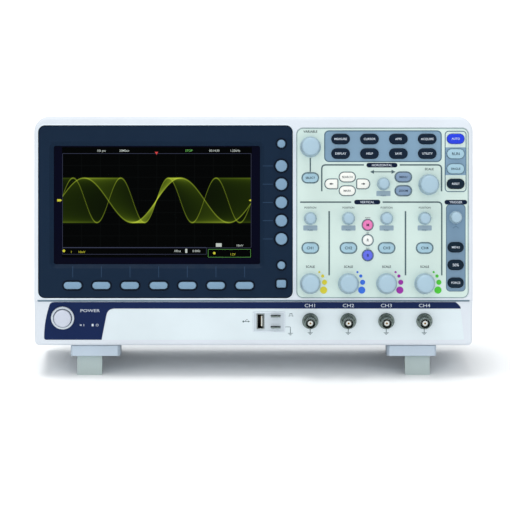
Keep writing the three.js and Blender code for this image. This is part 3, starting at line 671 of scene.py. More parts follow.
side_low, side_high = pad_box["side_keypad"]
side_x = (side_low.x + side_high.x) / 2
side_top = side_high.z - SHEET_GROW - MENU_OFF_RADIUS
side_bottom = side_low.z + SHEET_GROW + PRINT_SIZE[1] / 2
SIDE_KEYS = [
    circle(side_x, side_top, MENU_OFF_RADIUS),
    *[circle(side_x, side_top - MENU_DROP - MENU_PITCH * i, MENU_RADIUS) for i in range(5)],
    circle(side_x, side_bottom + OPTION_RISE, OPTION_RADIUS),
    RoundRect(side_x, side_bottom, *PRINT_SIZE, 1.6),
]

CHANNELS = (1, 2, 3, 4)
SINGLE = {
    "autoset_key": (KEY_BLUE, "key_blue"),
    "run_stop_key": (KEY_LIGHT, "key_light"),
    "single_key": (KEY_LIGHT, "key_light"),
    "default_key": (KEY_NAVY, "key_navy"),
    "select_key": (KEY_LIGHT, "key_light"),
    "horizontal_menu_key": (KEY_SLATE, "key_grey"),
    "zoom_key": (KEY_SLATE, "key_grey"),
    **{f"channel_{n}_key": (KEY_LIGHT, "key_light") for n in CHANNELS},
    "math_key": (KEY_PINK, "key_pink"),
    "reference_key": (KEY_PALE, "key_pale"),
    "bus_key": (KEY_VIOLET, "key_violet"),
    "trigger_menu_key": (KEY_NAVY, "key_navy"),
    "trigger_half_key": (KEY_NAVY, "key_navy"),
    "trigger_force_key": (KEY_NAVY, "key_navy"),
}
SINGLE_SHAPES = {name: key_shape(name) for name in SINGLE}

KNOBS = {node: place_of(node) for node in frame["nodes"] if node.endswith("_knob")}


def key_holes(shapes):
    return [prism(shape, *THROUGH, GAP) for shape in shapes]


def cap_and_flange(shape, face_front, face_back):
    """A key: its cap, which swells a little, and the flange that holds it in."""
    web = face_back + GAP
    cap = pad(shape, face_front - KEY_PROUD, web + 0.6, KEY_EDGE, KEY_CROWN)
    width, height = shape.width + 2 * KEY_GROW, shape.height + 2 * KEY_GROW
    outline = RoundRect(shape.x, shape.z, width, height, min(shape.height, shape.width) / 2)
    return together([cap, prism(outline, web, web + FLANGE)])


def make_keypad(body, shapes, material, slot, face_front, face_back):
    """Caps of one silicone pad. The sheet that joins them stands for the CAD node."""
    low, high = pad_box[body]
    web = face_back + GAP
    sheet = prism(RoundRect.between(low.x, high.x, low.z, high.z, 1.5), web, web + FLANGE)
    piece(body + "_sheet", sheet, material, body, [body])
    for i, shape in enumerate(shapes):
        cap = pad(shape, face_front - KEY_PROUD, web + 0.3, KEY_EDGE, KEY_CROWN)
        piece(f"{body}_cap_{i + 1}", cap, material, body)


def make_keys():
    """The single keys and the four keypads, each between the front and back of its face."""
    control_face, bezel_face = (CONTROL_RECESS, FACE_WALL), (0.2, 3.2)
    for name, (material, slot) in SINGLE.items():
        solid = cap_and_flange(SINGLE_SHAPES[name], *control_face)
        piece(name + "_cap", solid, material, name, [name])
    make_keypad("function_keypad", FUNCTION_KEYS, SILICONE_NAVY, "key_dark", *control_face)
    make_keypad("search_keypad", NAV_KEYS, SILICONE_WHITE, "key_white", *control_face)
    make_keypad("soft_keypad", SOFT_KEYS, SILICONE_BLUE, "key_soft", *bezel_face)
    make_keypad("side_keypad", SIDE_KEYS, SILICONE_BLUE, "key_soft", *bezel_face)


# -------------------------------------------------------------------- knobs


def make_knob(name):
    """A tapered knob with a rounded nose and fine grip flutes, hollow for its shaft."""
    x, z, _, _ = place_of(name)
    low, high = box_in(TO_ROW, name)
    front, back = low.y, high.y
    base = (high.x - low.x) / 2 * 1.01
    large = base > 7
    taper, nose, flutes, shaft = (0.865, 2.4, 30, -7.35) if large else (0.8, 1.5, 20, -6.7)
    tip = base * taper
    flute_depth = 0.01
    bore = 2.9
    grip_front, grip_back = front + nose + 0.4, back - 2.6

    def ripple(angle, y):
        if not grip_front < y < grip_back:
            return 1
        return 1 - flute_depth * (0.5 - 0.5 * math.cos(flutes * angle)) ** 2

    profile = [(0, front), (tip * 0.5, front + 0.05), (tip - nose, front + 0.22)]
    profile += arc(tip - nose, front + 0.22 + nose, nose, -75, -6, 5)
    profile += [(tip + 0.02, grip_front), (tip + 0.05, grip_front + 0.4)]
    profile += [(base - 0.35, grip_back - 0.4), (base - 0.3, grip_back)]
    profile += [(base, back - 2.2), (base, back - 0.5), (base - 0.3, back)]
    profile += [(bore, back), (bore, shaft - GAP), (0, shaft - GAP)]
    solid = turned(profile, x, z, flutes * 6, ripple)
    piece(name + "_cap", solid, KNOB, name, [name], sharp=40)


# ----------------------------------------------------------------- housing


def face_y(z):
    """Where the front face is at this height: upright above, a step, then sloping inwards."""
    if z >= FACE_BOTTOM:
        return 0.0
    if z >= INPUT_TOP:
        return STEP_BACK * (FACE_BOTTOM - z) / (FACE_BOTTOM - INPUT_TOP)
    return STEP_BACK + (INPUT_TOP - z) * math.tan(SLOPE)


SIDE_LEVELS = (5, 20, INPUT_TOP, FACE_BOTTOM, 60, 100, 140, 170)  # heights of points up each side


def right_side(inset):
    """The right half of the case's outline, from the bottom up."""
    half = WIDTH / 2 - inset
    low_radius, high_radius = max(BOTTOM_CORNER - inset, 0.8), max(TOP_CORNER - inset, 2)
    low_z, high_z = inset + low_radius, HEIGHT - inset - high_radius
    side = [(half, z) for z in SIDE_LEVELS if low_z + 0.1 < z < HEIGHT - TOP_CORNER]
    return (
        arc(half - low_radius, low_z, low_radius, -90, 0, 8)
        + side
        + arc(half - high_radius, high_z, high_radius, 0, 90, 8)
    )


def housing_solid(inset, edge, deeper, back):
    """A solid the shape of the front housing, inset from its sides and set back from its face."""
    steps = 5
    loops = [[(x, back, z) for x, z in right_side(inset)]]
    for k in range(steps + 1):
        angle = math.pi / 2 * k / steps
        shrink = edge * (1 - math.cos(angle))
        loops.append([
            (x, face_y(z) + deeper + edge * (1 - math.sin(angle)), z)
            for x, z in right_side(inset + shrink)
        ])
    bm = bmesh.new()
    rows = []
    for loop in loops:
        mirrored = [(-x, y, z) for x, y, z in reversed(loop)]
        rows.append([bm.verts.new(p) for p in loop + mirrored])
    count = len(rows[0])
    for a, b in zip(rows, rows[1:]):
        for i in range(count):
            j = (i + 1) % count
            bm.faces.new((a[i], a[j], b[j], b[i]))
    for row in (rows[0], rows[-1]):
        for i in range(count // 2 - 1):
            bm.faces.new((row[i], row[i + 1], row[count - 2 - i], row[count - 1 - i]))
    bmesh.ops.recalc_face_normals(bm, faces=bm.faces)
    return bm


BEZEL_X, BEZEL_Z, BEZEL_WIDTH, BEZEL_HEIGHT = place_of("display_bezel")
BEZEL_SHAPE = RoundRect(BEZEL_X, BEZEL_Z, BEZEL_WIDTH, BEZEL_HEIGHT, 5.5, 10)
CONTROL_SHAPE = RoundRect.between(36.8, 186.6, 40.8, 188.8, 6, 10)
PANEL_INSET = 0.25
FUNCTION_SHAPE = RoundRect.between(62.1, 162.1, 159.8, 185.4, 3.2)
RUN_SHAPE = RoundRect.between(166.3, 183.7, 133.6, 185.2, 2.6)
RUN_BAND = RoundRect.between(166.3, 183.7, 147.6, 171.6, 0.1)
TRIGGER_SHAPE = RoundRect.between(167.2, 183.1, 47.3, 121.9, 3)

POWER_RADIUS = 7.5
RING_INNER = 7.95
JACK_HOLE = 5.35
POWER_X, POWER_DOWN, _, _ = place_of("power_button", PANEL)
USB_X, USB_DOWN, USB_W, USB_H = place_of("usb_host_port", PANEL)
HOOKS = {name: place_of(name, PANEL) for name in ("probe_hook", "ground_hook")}
JACKS = {n: place_of(f"input_jack_{n}", PANEL) for n in CHANNELS}
PLATE_SHAPE = RoundRect.between(-0.4, 27.2, -26.6, -8.7, 1.2)


def knob_holes(names=None):
    """Cutters for the shafts of these knobs, or of all of them."""
    return [
        prism(circle(x, z, 3.8 if width > 14 else 3.2), *THROUGH)
        for name, (x, z, width, _) in KNOBS.items()
        if names is None or name in names
    ]


PANEL_IN_CASE = TO_ROW.inverted() @ PANEL


def slope_holes():
    """Cutters for the power button and the jacks, in the input panel's frame."""
    out = [prism(circle(POWER_X, POWER_DOWN, POWER_RADIUS + 0.05 + GAP), *SLOPE_THROUGH)]
    return out + [prism(circle(x, z, JACK_HOLE), *SLOPE_THROUGH) for x, z, _, _ in JACKS.values()]


def plate_holes():
    """Cutters for the USB socket and the hooks, in the input panel's frame."""
    sockets = [(USB_X, USB_DOWN, USB_W, USB_H), *HOOKS.values()]
    return [
        box(x - width / 2 - GAP, x + width / 2 + GAP, *SLOPE_THROUGH,
            z - height / 2 - GAP, z + height / 2 + GAP)
        for x, z, width, height in sockets
    ]


NOTCH_LEVELS = (155.5, 56)
NOTCH_HEIGHT, NOTCH_DEPTH = 11, 1.6


def make_housing():
    """The front shell, with the small notches in its sides."""
    solid = housing_solid(0, FRONT_EDGE, 0, HOUSING_DEPTH)
    solid = cut(solid, [housing_solid(WALL, 1.0, FACE_WALL - 0.3, HOUSING_DEPTH + 5)])
    singles = list(SINGLE_SHAPES.values())
    solid = cut(solid, [prism(BEZEL_SHAPE, -5, 8, GAP), prism(CONTROL_SHAPE, -5, CONTROL_RECESS)])
    solid = cut(solid, key_holes(singles + FUNCTION_KEYS + NAV_KEYS) + knob_holes())
    solid = cut(solid, [moved(h, PANEL_IN_CASE) for h in slope_holes() + plate_holes()])
    inner_side, outer_side = WIDTH / 2 - NOTCH_DEPTH, WIDTH / 2 + 2
    notches = [
        box(x0, x1, STEP_BACK, 10, low, low + NOTCH_HEIGHT)
        for x0, x1 in ((inner_side, outer_side), (-outer_side, -inner_side))
        for low in NOTCH_LEVELS
    ]
    solid = cut(solid, notches)
    piece("housing", solid, MOULDED, "case", ["front_housing"], sharp=32, even=True)


def make_trims():
    """The pale lip round the bezel, and a strip of painted shade along the step."""
    lip = stepped(BEZEL_SHAPE, (
        (-0.4, 1.2), (-0.4, -0.25), (-0.6, -0.45), (-1.1, -0.45), (-1.4, -0.2), (-1.5, 1.2), (-0.4, 1.2),
    ), closed=True)
    piece("bezel_lip", lip, BEZEL_LIP, "case")
    # painted shade: a grey strip over the step, where the downward-facing step lies in shadow
    half = WIDTH / 2 - FRONT_EDGE
    front, back = -0.06, STEP_BACK + 0.2
    top, bottom = FACE_BOTTOM + 0.1, INPUT_TOP + 0.15
    profile = [(front, top), (front, FACE_BOTTOM - 0.5), (STEP_BACK - 0.1, bottom), (back, bottom),
               (back, top)]
    shade_strip = loft([[(x, y, z) for y, z in profile] for x in (-half, half)])
    piece("painted_step_shade", shade_strip, STEP_SHADE, "case")


SCREEN_SHAPE = RoundRect(-83.7, 121.7, 177.5, 101.3, 1.0, 3)


def make_bezel():
    """The navy plate with its flared opening, the lines from the display to its keys, and rings of painted
    shade round its keys.
    """
    low, high = box_in(TO_ROW, "display_bezel")
    front = low.y
    solid = pad(BEZEL_SHAPE, front, high.y, 0.9)
    flare = ((-5.4, front - 1), (-4.3, front), (-4.0, front + 0.3), (0.0, high.y + 0.5))
    solid = cut(solid, [stepped(SCREEN_SHAPE, flare)])
    solid = cut(solid, key_holes(SOFT_KEYS + SIDE_KEYS))
    piece("bezel", solid, BEZEL, "case", ["display_bezel"], sharp=32, even=True)
    leaders = [ribbon([(s.x, 59), (s.x, 68.6)], 0.5, front - INK) for s in SOFT_KEYS]
    leaders += [ribbon([(8, s.z), (16.8, s.z)], 0.5, front - INK) for s in SIDE_KEYS[1:6]]
    printed("bezel_marks", leaders, BEZEL_PRINT)
    # painted shade: a flat dark ring round each key where its gap lies in shadow
    shaded_rings = [ring(s.grown(0.5), 1.1, front - INK) for s in SIDE_KEYS + SOFT_KEYS]
    piece("bezel_shade_rings", together(shaded_rings), KEY_GAP_SHADE, "case")


def make_overlays():
    """The printed sheets on the control face, with holes for what comes through them."""
    back = CONTROL_RECESS - 0.02
    singles = list(SINGLE_SHAPES.values())
    main = pad(CONTROL_SHAPE.grown(-PANEL_INSET), OVERLAY_FRONT, back, 0.15)
    main = cut(main, key_holes(singles + FUNCTION_KEYS + NAV_KEYS) + knob_holes())
    piece("control_overlay", main, MINT, "case", sharp=30, even=True)
    run_keys = [SINGLE_SHAPES["run_stop_key"], SINGLE_SHAPES["single_key"]]
    triggers = [s for n, s in SINGLE_SHAPES.items() if n.startswith("trigger")]
    for name, shape, material, holes in (
        ("function_overlay", FUNCTION_SHAPE, SLATE, key_holes(FUNCTION_KEYS)),
        ("run_overlay", RUN_BAND, SLATE, key_holes(run_keys)),
        ("trigger_overlay", TRIGGER_SHAPE, SLATE_DEEP,
         key_holes(triggers) + knob_holes(["trigger_level_knob"])),
    ):
        sheet = prism(shape, BLOCK_FRONT, OVERLAY_FRONT - 0.005)
        piece(name, cut(sheet, holes), material, "case")


def rounded_path(points, radius, steps=5):
    """A path through points with its inner corners rounded."""
    path = [Vector(p) for p in points]
    out = [path[0]]
    for a, b, c in zip(path, path[1:], path[2:]):
        start, end = b + (a - b).normalized() * radius, b + (c - b).normalized() * radius
        for i in range(steps + 1):
            t = i / steps
            out.append(start * (1 - t) ** 2 + b * 2 * t * (1 - t) + end * t * t)
    out.append(path[-1])
    return [tuple(p) for p in out]


# heights of the sections' tops and feet, and where their frames stand
HORIZONTAL_TOP, HORIZONTAL_FOOT = 156.4, 133.6
VERTICAL_TOP, VERTICAL_FOOT = 124.2, 60.8
FRAME_LEFT, FRAME_RIGHT = 59.1, 163.0
ARROW_LEVEL = 150.4
LINE_WIDTH, LINE_ROUND = 1.2, 3.5
TRIGGER_MIDDLE = 175.2
BUTTON_COLUMN = 98.9  # where the math, reference and bus keys stand
PILLS = {
    "horizontal": (111.2, 156.2, 26.8),
    "vertical": (98.5, VERTICAL_TOP, 22.6),
    "trigger": (TRIGGER_MIDDLE, 124.1, 19.6),
}
OUTLINED = (
    "select_key", "horizontal_menu_key", "zoom_key", "math_key", "reference_key", "bus_key",
    *[f"channel_{n}_key" for n in CHANNELS],
)
CHANNEL_DOTS = ((7.8, 10.0, 0.95), (10.7, 6.6, 1.4), (12.3, 1.2, 2.2), (11.5, -5.6, 3.1))
CHANNEL_INKS = (srgb(218, 206, 44), srgb(40, 110, 226), srgb(160, 26, 166), srgb(70, 200, 40))


def make_section_lines(y):
    """The frames of the sections, a line of painted shade inside the panel's edge, and the outlines round
    blocks and keys.
    """
    frames = (
        [(FRAME_LEFT, HORIZONTAL_FOOT), (FRAME_LEFT, HORIZONTAL_TOP), (95.6, HORIZONTAL_TOP)],
        [(126.6, HORIZONTAL_TOP), (162.8, HORIZONTAL_TOP), (162.8, HORIZONTAL_FOOT)],
        [(40.4, VERTICAL_TOP), (84.6, VERTICAL_TOP)],
        [(111.8, VERTICAL_TOP), (FRAME_RIGHT, VERTICAL_TOP), (FRAME_RIGHT, VERTICAL_FOOT)],
    )
    lines = [ribbon(rounded_path(path, LINE_ROUND), LINE_WIDTH, y) for path in frames]
    lines += [ribbon([(x, VERTICAL_FOOT), (x, 116.4)], 1.3, y) for x in (65.5, 131.6)]
    lines += [
        ribbon([(49.2, ARROW_LEVEL), (49.2, 162.6)], 1.1, y),
        ribbon([(104, ARROW_LEVEL), (119.6, ARROW_LEVEL)], 0.8, y),
        arrow(102.6, ARROW_LEVEL, 3.4, 3.4, y, -1),
        arrow(121.2, ARROW_LEVEL, 3.4, 3.4, y, 1),
    ]
    printed("section_lines", lines, LINE)
    # painted shade: a thin grey ring just inside the overlay's edge, for the shadow in the groove round it
    printed("panel_shade_line", [ring(CONTROL_SHAPE.grown(-PANEL_INSET - 0.8), 0.5, y)], PANEL_GROOVE_SHADE)
    outlines = [ring(FUNCTION_SHAPE, 0.9, y), ring(RUN_SHAPE, 0.7, y), ring(TRIGGER_SHAPE, 0.5, y)]
    outlines += [ring(s.grown(0.4), 0.4, y) for s in NAV_KEYS]
    outlines += [ring(SINGLE_SHAPES[name].grown(0.5), 0.5, y) for name in OUTLINED]
    printed("outlines", outlines, EDGE_LINE)


def make_legends(y):
    """The sections' names on their pills, and the words over knobs and keys."""
    pills = [patch(RoundRect(x, z, w, 4, 2), y - 0.01) for x, z, w in PILLS.values()]
    piece("section_pills", together(pills), NAVY_DEEP, "case")
    names = [words(n.upper(), x, z, LEGEND, y - 0.02, LIGHT) for n, (x, z, _) in PILLS.items()]
    printed("section_names", names, INK_WHITE)
    legends = [words("VARIABLE", 49.3, 185.3, LEGEND, y, BOLD), words("SCALE", 152.2, 152.8, LEGEND, y, BOLD)]
    for n in CHANNELS:
        x = KNOBS[f"scale_{n}_knob"][0]
        legends += [words("POSITION", x, 119.4, 1.6, y), words("SCALE", x, 68.3, LEGEND, y, BOLD)]
    for text, z in (("MATH", 110.6), ("REF", 97.5), ("BUS", 84.2)):
        legends.append(words(text, BUTTON_COLUMN, z, 1.1, y))
    printed("legends", legends, INK_NAVY)
    positions = [(x, z) for name, (x, z, _, _) in KNOBS.items() if "position" in name]
    bands = [patch(RoundRect(x, z - 8.2, 12.2, 4.4, 0.6), y + 0.02) for x, z in positions]
    printed("push_bands", bands, PUSH_BAND)
    pushes = [words("PUSH", x, z - 10.1, 1.3, y + 0.01, LIGHT) for x, z in positions]
    chevron = [(TRIGGER_MIDDLE - 2.6, 101.6), (TRIGGER_MIDDLE, 103.4), (TRIGGER_MIDDLE + 2.6, 101.6)]
    printed("push_words", [*pushes, ribbon(chevron, 0.35, y)], EDGE_LINE)


def make_channel_dots(y):
    """Dots that grow round each channel's scale knob, in the channel's colour."""
    for n, color in zip(CHANNELS, CHANNEL_INKS):
        x, z = KNOBS[f"scale_{n}_knob"][:2]
        spots = [patch(circle(x + dx, z + dz, radius), y) for dx, dz, radius in CHANNEL_DOTS]
        printed(f"channel_dots_{n}", spots, surface(f"channel_ink_{n}", color, 0.5))


KEY_WORDS = {
    "autoset_key": ("AUTO", INK_WHITE), "run_stop_key": ("RUN", INK_NAVY),
    "single_key": ("SINGLE", INK_NAVY), "default_key": ("RESET", INK_WHITE),
    "select_key": ("SELECT", INK_NAVY), "horizontal_menu_key": ("MENU", INK_NAVY),
    "zoom_key": ("ZOOM", INK_NAVY), "trigger_menu_key": ("MENU", INK_WHITE),
    "trigger_half_key": ("50%", INK_WHITE), "trigger_force_key": ("FORCE", INK_WHITE),
    **{f"channel_{n}_key": (f"CH{n}", INK_NAVY) for n in CHANNELS},
    "math_key": ("M", INK_NAVY), "reference_key": ("R", INK_NAVY), "bus_key": ("B", INK_NAVY),
}
FUNCTION_WORDS = ("MEASURE", "CURSOR", "APPS", "ACQUIRE", "DISPLAY", "HELP", "SAVE", "UTILITY")


def make_key_legends():
    """The words on the keys, just in front of their swelling caps."""
    y = CONTROL_RECESS - KEY_PROUD - KEY_CROWN - INK
    for name, (label, ink) in KEY_WORDS.items():
        shape = SINGLE_SHAPES[name]
        height = 2.3 if len(label) < 4 else 1.75
        printed(name + "_legend", [words(label, shape.x, shape.z, height, y, BOLD)], ink, name)
    labels = [words(label, s.x, s.z, 1.8, y, BOLD) for label, s in zip(FUNCTION_WORDS, FUNCTION_KEYS)]
    printed("function_legends", labels, INK_WHITE, "function_keypad")
    search, mark, back, forward = NAV_KEYS
    marks = [words(label, s.x, s.z, 1.7, y, LIGHT) for label, s in (("SEARCH", search), ("MARK", mark))]
    for key, way in ((back, -1), (forward, 1)):
        marks.append(arrow(key.x + way * 0.9, key.z, 1.8, 2, y, way))
        marks.append(ribbon([(key.x - 1.6, key.z), (key.x + 1.6, key.z)], 0.7, y))
    printed("search_legends", marks, INK_NAVY, "search_keypad")


# ------------------------------------------------------------------ display

FIELD_SHAPE = RoundRect.between(-166.0, -1.4, 76.2, 171.9, 0.6, 2)
GRID_TOP, GRID_BOTTOM = 166.2, 84.8
GRID_LEFT, GRID_RIGHT = -165.4, -2.2
TRACE_MIDDLE, TRACE_HEIGHT = 125.8, 19.3
TRIGGER_X = -84.1
PERIODS = (41.3, 83.7)  # the shortest and longest waves
DOT = 0.42  # the pitch and width of a dot of the trace
TRACE_DIM, TRACE_BRIGHT = srgb(82, 134, 2), srgb(222, 238, 76)


def make_trace(y):
    """A swept sine kept on the screen: many sweeps of different pitch, all rising at the trigger."""
    columns = np.arange(GRID_LEFT, GRID_RIGHT, DOT)
    rows = np.arange(TRACE_MIDDLE - 21, TRACE_MIDDLE + 21.01, DOT)
    light = np.zeros((len(columns), len(rows)))
    for pitch in np.linspace(*PERIODS, 84):
        crest = TRACE_MIDDLE + TRACE_HEIGHT * np.sin(2 * np.pi * (columns - TRIGGER_X) / pitch)
        edge = 16.0 if pitch in PERIODS else 1.0
        light += edge * np.exp(-(((rows[None, :] - crest[:, None]) / DOT) ** 2))
    light = 1 - np.exp(-light / 24)
    bm = bmesh.new()
    layer = bm.loops.layers.float_color.new("light")
    grid = [[bm.verts.new((x, y, z)) for z in rows] for x in columns]
    dim, bright = np.array(TRACE_DIM[:3]), np.array(TRACE_BRIGHT[:3])
    level = {}
    for i, column in enumerate(grid):
        for j, vertex in enumerate(column):
            amount = float(light[i, j])
            level[vertex] = (*(dim * amount + (bright - dim) * amount**1.8), 1.0)
    for i in range(len(columns) - 1):
        for j in range(len(rows) - 1):
            corners = grid[i][j], grid[i + 1][j], grid[i + 1][j + 1], grid[i][j + 1]
            if max(max(level[v][:3]) for v in corners) < 0.002:
                continue
            face = bm.faces.new(corners)
            for loop in face.loops:
                loop[layer] = level[loop.vert]
    loose = [v for v in bm.verts if not v.link_faces]
    bmesh.ops.delete(bm, geom=loose, context="VERTS")
    piece("display_trace", bm, TRACE, "case")


def make_display():
    """The window, the dark field behind it, its graticule and frames, and what it shows."""
    low, high = box_in(TO_ROW, "screen_window")
    window = RoundRect.between(low.x, high.x, low.z, high.z, 0.8, 3)
    piece("window", pad(window, low.y, high.y, 0.2), WINDOW, "case", ["screen_window"])
    piece("display_field", patch(FIELD_SHAPE, low.y - 0.02), FIELD, "case")
    y = low.y - 0.05
    uprights = along(GRID_LEFT, GRID_RIGHT, 11)[1:-1]
    levels = along(GRID_BOTTOM, GRID_TOP, 9)[1:-1]
    ticks = along(GRID_LEFT, GRID_RIGHT, 51)
    lines = [ribbon([(x, GRID_BOTTOM), (x, GRID_TOP)], 0.28, y) for x in uprights]
    lines += [ribbon([(GRID_LEFT, z), (GRID_RIGHT, z)], 0.28, y) for z in levels]
    lines += [ribbon([(x, TRACE_MIDDLE - 0.8), (x, TRACE_MIDDLE + 0.8)], 0.22, y) for x in ticks]
    shown("display_grid", lines, GRID)
    border = RoundRect.between(GRID_LEFT, GRID_RIGHT, GRID_BOTTOM, GRID_TOP, 0.1, 1)
    bar = RoundRect.between(GRID_LEFT, -41, 79.2, GRID_BOTTOM, 0.1, 1)
    shown("display_frame", [ring(border, 0.35, y), ring(bar, 0.35, y)], FRAME_LINE)
    make_trace(low.y - 0.08)
    make_readouts(low.y - 0.1)


def make_readouts(y):
    """Plain readings and markers round the graticule."""
    size = 1.8
    top_line, bottom_line = 168.9, 81.9
    readings = (
        ("10k pts", -132, top_line), ("20MSa/s", -112, top_line), ("1.25kHz", -16, top_line),
        ("00:14:30", -34, top_line), ("100us", -66, bottom_line), ("0.000s", -49.5, bottom_line),
        ("10mV", -12, 86.7),
    )
    written = [words(text, x, z, size, y, LIGHT) for text, x, z in readings]
    written.append(patch(RoundRect.between(-32.6, -27.6, 85.5, 88.6, 0.3, 2), y))
    written.append(patch(RoundRect.between(-59.2, -57.4, 80.2, 83.8, 0.3, 2), y))
    shown("display_words", written, READOUT)
    frame_line = ring(RoundRect.between(-39.2, -2.6, 76.6, 83.2, 0.3, 2), 0.2, y)
    shown("display_accents", [words("STOP", -56, top_line, size, y, LIGHT), frame_line], READOUT_GREEN)
    top = GRID_TOP + 1.6
    marker = polygon([(TRIGGER_X - 1.5, top), (TRIGGER_X, top - 2.4), (TRIGGER_X + 1.5, top)], y)
    shown("display_marker", [marker], READOUT_AMBER)
    low_edge, high_edge = TRACE_MIDDLE - 1.0, TRACE_MIDDLE + 1.0
    tag = [(-170.2, low_edge), (-167.4, low_edge), (-166.0, TRACE_MIDDLE), (-167.4, high_edge),
           (-170.2, high_edge)]
    level = [(-2.2, low_edge), (-4.2, TRACE_MIDDLE), (-2.2, high_edge)]
    lamps = [polygon(tag, y), polygon(level, y)]
    lamps += [patch(circle(x, z, radius, 4), y) for x, z, radius in ((-164.4, 82, 1.2), (-34, 80, 1.1))]
    lamps += [words(text, x, z, size, y) for text, x, z in
              (("1", -158, 81.1), ("10mV", -149, 81.1), ("1.2V", -18, 79))]
    shown("display_lamps", lamps, READOUT_YELLOW)


# -------------------------------------------------------------- input panel


FILM_FRONT, FILM_BACK = -0.16, -0.005
FILM_GAP = 0.35  # between the navy film and the white one
FILM_BOTTOM = -(INPUT_TOP - 4.8) / math.cos(SLOPE)
STRIP_BOTTOM = -(INPUT_TOP - 32.0) / math.cos(SLOPE)
FOLD = rounded_path([(100, STRIP_BOTTOM), (-126.4, STRIP_BOTTOM), (-132.0, FILM_BOTTOM)], 6, 8)


def film(outline, holes):
    """A printed sheet on the sloping panel."""
    sheet = loft([[(x, y, z) for x, z in outline] for y in (FILM_BACK, FILM_FRONT)])
    return cut(sheet, holes)


def make_films():
    """The navy film, along the top and down the left, and the white film under it."""
    left = [(-176.4 - 5.4 * (1 - (1 - t) ** 2), -1.6 + (FILM_BOTTOM + 3) * t) for t in along(0, 1, 11)]
    right = [(175.0 + 4.6 * math.sin(math.pi / 2 * t), -0.05 + (STRIP_BOTTOM + 0.05) * t)
             for t in along(0, 1, 7)]
    corner = rounded_path([left[-1], (-181.9, FILM_BOTTOM), (-176, FILM_BOTTOM)], 2.2, 4)
    navy = [(-172.4, -0.05), (-174.8, -0.4)] + left[:-1] + corner + FOLD[::-1] + right[::-1]
    button = prism(circle(POWER_X, POWER_DOWN, RING_INNER - 0.05), *FILM_THROUGH)
    piece("navy_overlay", film(navy, [button]), NAVY, "case", turn=PANEL)
    right = [(179.7 + 3.2 * t, STRIP_BOTTOM - FILM_GAP + (FILM_BOTTOM - STRIP_BOTTOM + 1.2) * t)
             for t in along(0, 1, 9)]
    white = [(x + 0.4, z - FILM_GAP) for x, z in FOLD[:-1]]
    white += [(-131.5, FILM_BOTTOM), (179.8, FILM_BOTTOM), (182.2, FILM_BOTTOM + 0.4)] + right[::-1]
    holes = [prism(circle(x, z, JACK_HOLE), *FILM_THROUGH) for x, z, _, _ in JACKS.values()]
    holes.append(prism(PLATE_SHAPE, *FILM_THROUGH, 0.15))
    piece("input_overlay", film(white, holes), INPUT_WHITE, "case", turn=PANEL)


def make_input_trims():
    """The metal ring round the power button, and the plate for the USB socket and the hooks."""
    profile = [(RING_INNER, -0.1), (RING_INNER, -1.4)] + arc(RING_INNER + 0.6, -1.4, 0.6, 180, 270, 3)
    profile += arc(9.2, -1.0, 1.0, -90, 0, 4) + [(10.2, -0.1), (RING_INNER, -0.1)]
    piece("power_ring", turned(profile, POWER_X, POWER_DOWN, 72), RING, "case", turn=PANEL)
    plate = cut(pad(PLATE_SHAPE, -0.35, -0.01, 0.2), plate_holes())
    piece("port_plate", plate, PORT_PLATE, "case", turn=PANEL)
    rim = stepped(PLATE_SHAPE, (
        (0, -0.01), (0, -0.7), (0.25, -0.9), (0.7, -0.9), (0.95, -0.7), (0.95, -0.01), (0, -0.01),
    ), closed=True)
    piece("port_plate_rim", rim, BEZEL_LIP, "case", turn=PANEL)


def earth_mark(x, z, y):
    """Three shortening bars under a stem, the mark for ground."""
    bars = [ribbon([(x, z + 3.6), (x, z)], 0.55, y)]
    for i, half in enumerate((2.2, 1.4, 0.6)):
        bars.append(ribbon([(x - half, z - 0.8 * i), (x + half, z - 0.8 * i)], 0.4, y))
    return bars


def make_input_marks(y):
    """The marks by the sockets, the channels' names and the power lettering."""
    marks = []
    for x, z, _, _ in JACKS.values():
        marks += earth_mark(x, z - 10.4, y)
    low, high = -12.4, -10.2
    wave = [(30.4, low), (31.6, low), (31.6, high), (33.4, high), (33.4, low), (34.6, low)]
    ground_x, plug_z = 32, -17.2
    lead = rounded_path([(27.6, -22), (ground_x, -22), (ground_x, -25)], 0.5)
    marks += [ribbon(wave, 0.45, y), ribbon(lead, 0.4, y), *earth_mark(ground_x, -27.6, y)]
    branch = [(-7.4, plug_z), (-6.2, plug_z + 1.6), (-5.0, plug_z + 1.6)]
    marks += [ribbon([(-8.6, plug_z), (-4.4, plug_z)], 0.5, y), patch(circle(-8.8, plug_z, 0.8), y)]
    marks += [arrow(-3.9, plug_z, 1.6, 1.6, y), ribbon(branch, 0.4, y)]
    printed("input_marks", marks, LINE, turn=PANEL)
    names = [words(f"CH{n}", x, -3.1, 2.9, y, 0.0, 1.25) for n, (x, _, _, _) in JACKS.items()]
    lamp_x, lamp_z = -147.2, -20.4
    names += [
        words("POWER", -141.8, -7.6, 2.5, y, 0.0, 1.35),
        arrow(lamp_x - 3, lamp_z, 1.8, 1.6, y, -1),
        ribbon([(lamp_x, lamp_z - 0.9), (lamp_x, lamp_z + 0.9)], 0.4, y),
        patch(RoundRect(lamp_x + 7.6, lamp_z, 1.6, 2.2, 0.3), y),
        ring(circle(lamp_x + 11.6, lamp_z, 0.8), 0.3, y),
    ]
    printed("input_names", names, INK_WHITE, turn=PANEL)


def make_power_button():
    """A round cap with a rounded edge, a flange behind the panel and a stem."""
    front, edge = -5.4, 1.3
    flange, stem = POWER_RADIUS + 1.2, 3
    profile = [(0, front), (POWER_RADIUS * 0.55, front + 0.04), (POWER_RADIUS - edge, front + 0.2)]
    profile += arc(POWER_RADIUS - edge, front + 0.2 + edge, edge, -80, 0, 5)
    profile += [(POWER_RADIUS, 3.4), (flange, 3.4), (flange, 4.8), (stem, 4.8), (stem, 12), (0, 12)]
    cap = turned(profile, POWER_X, POWER_DOWN, 72)
    piece("power_button_cap", cap, POWER, "power_button", ["power_button"], turn=PANEL)


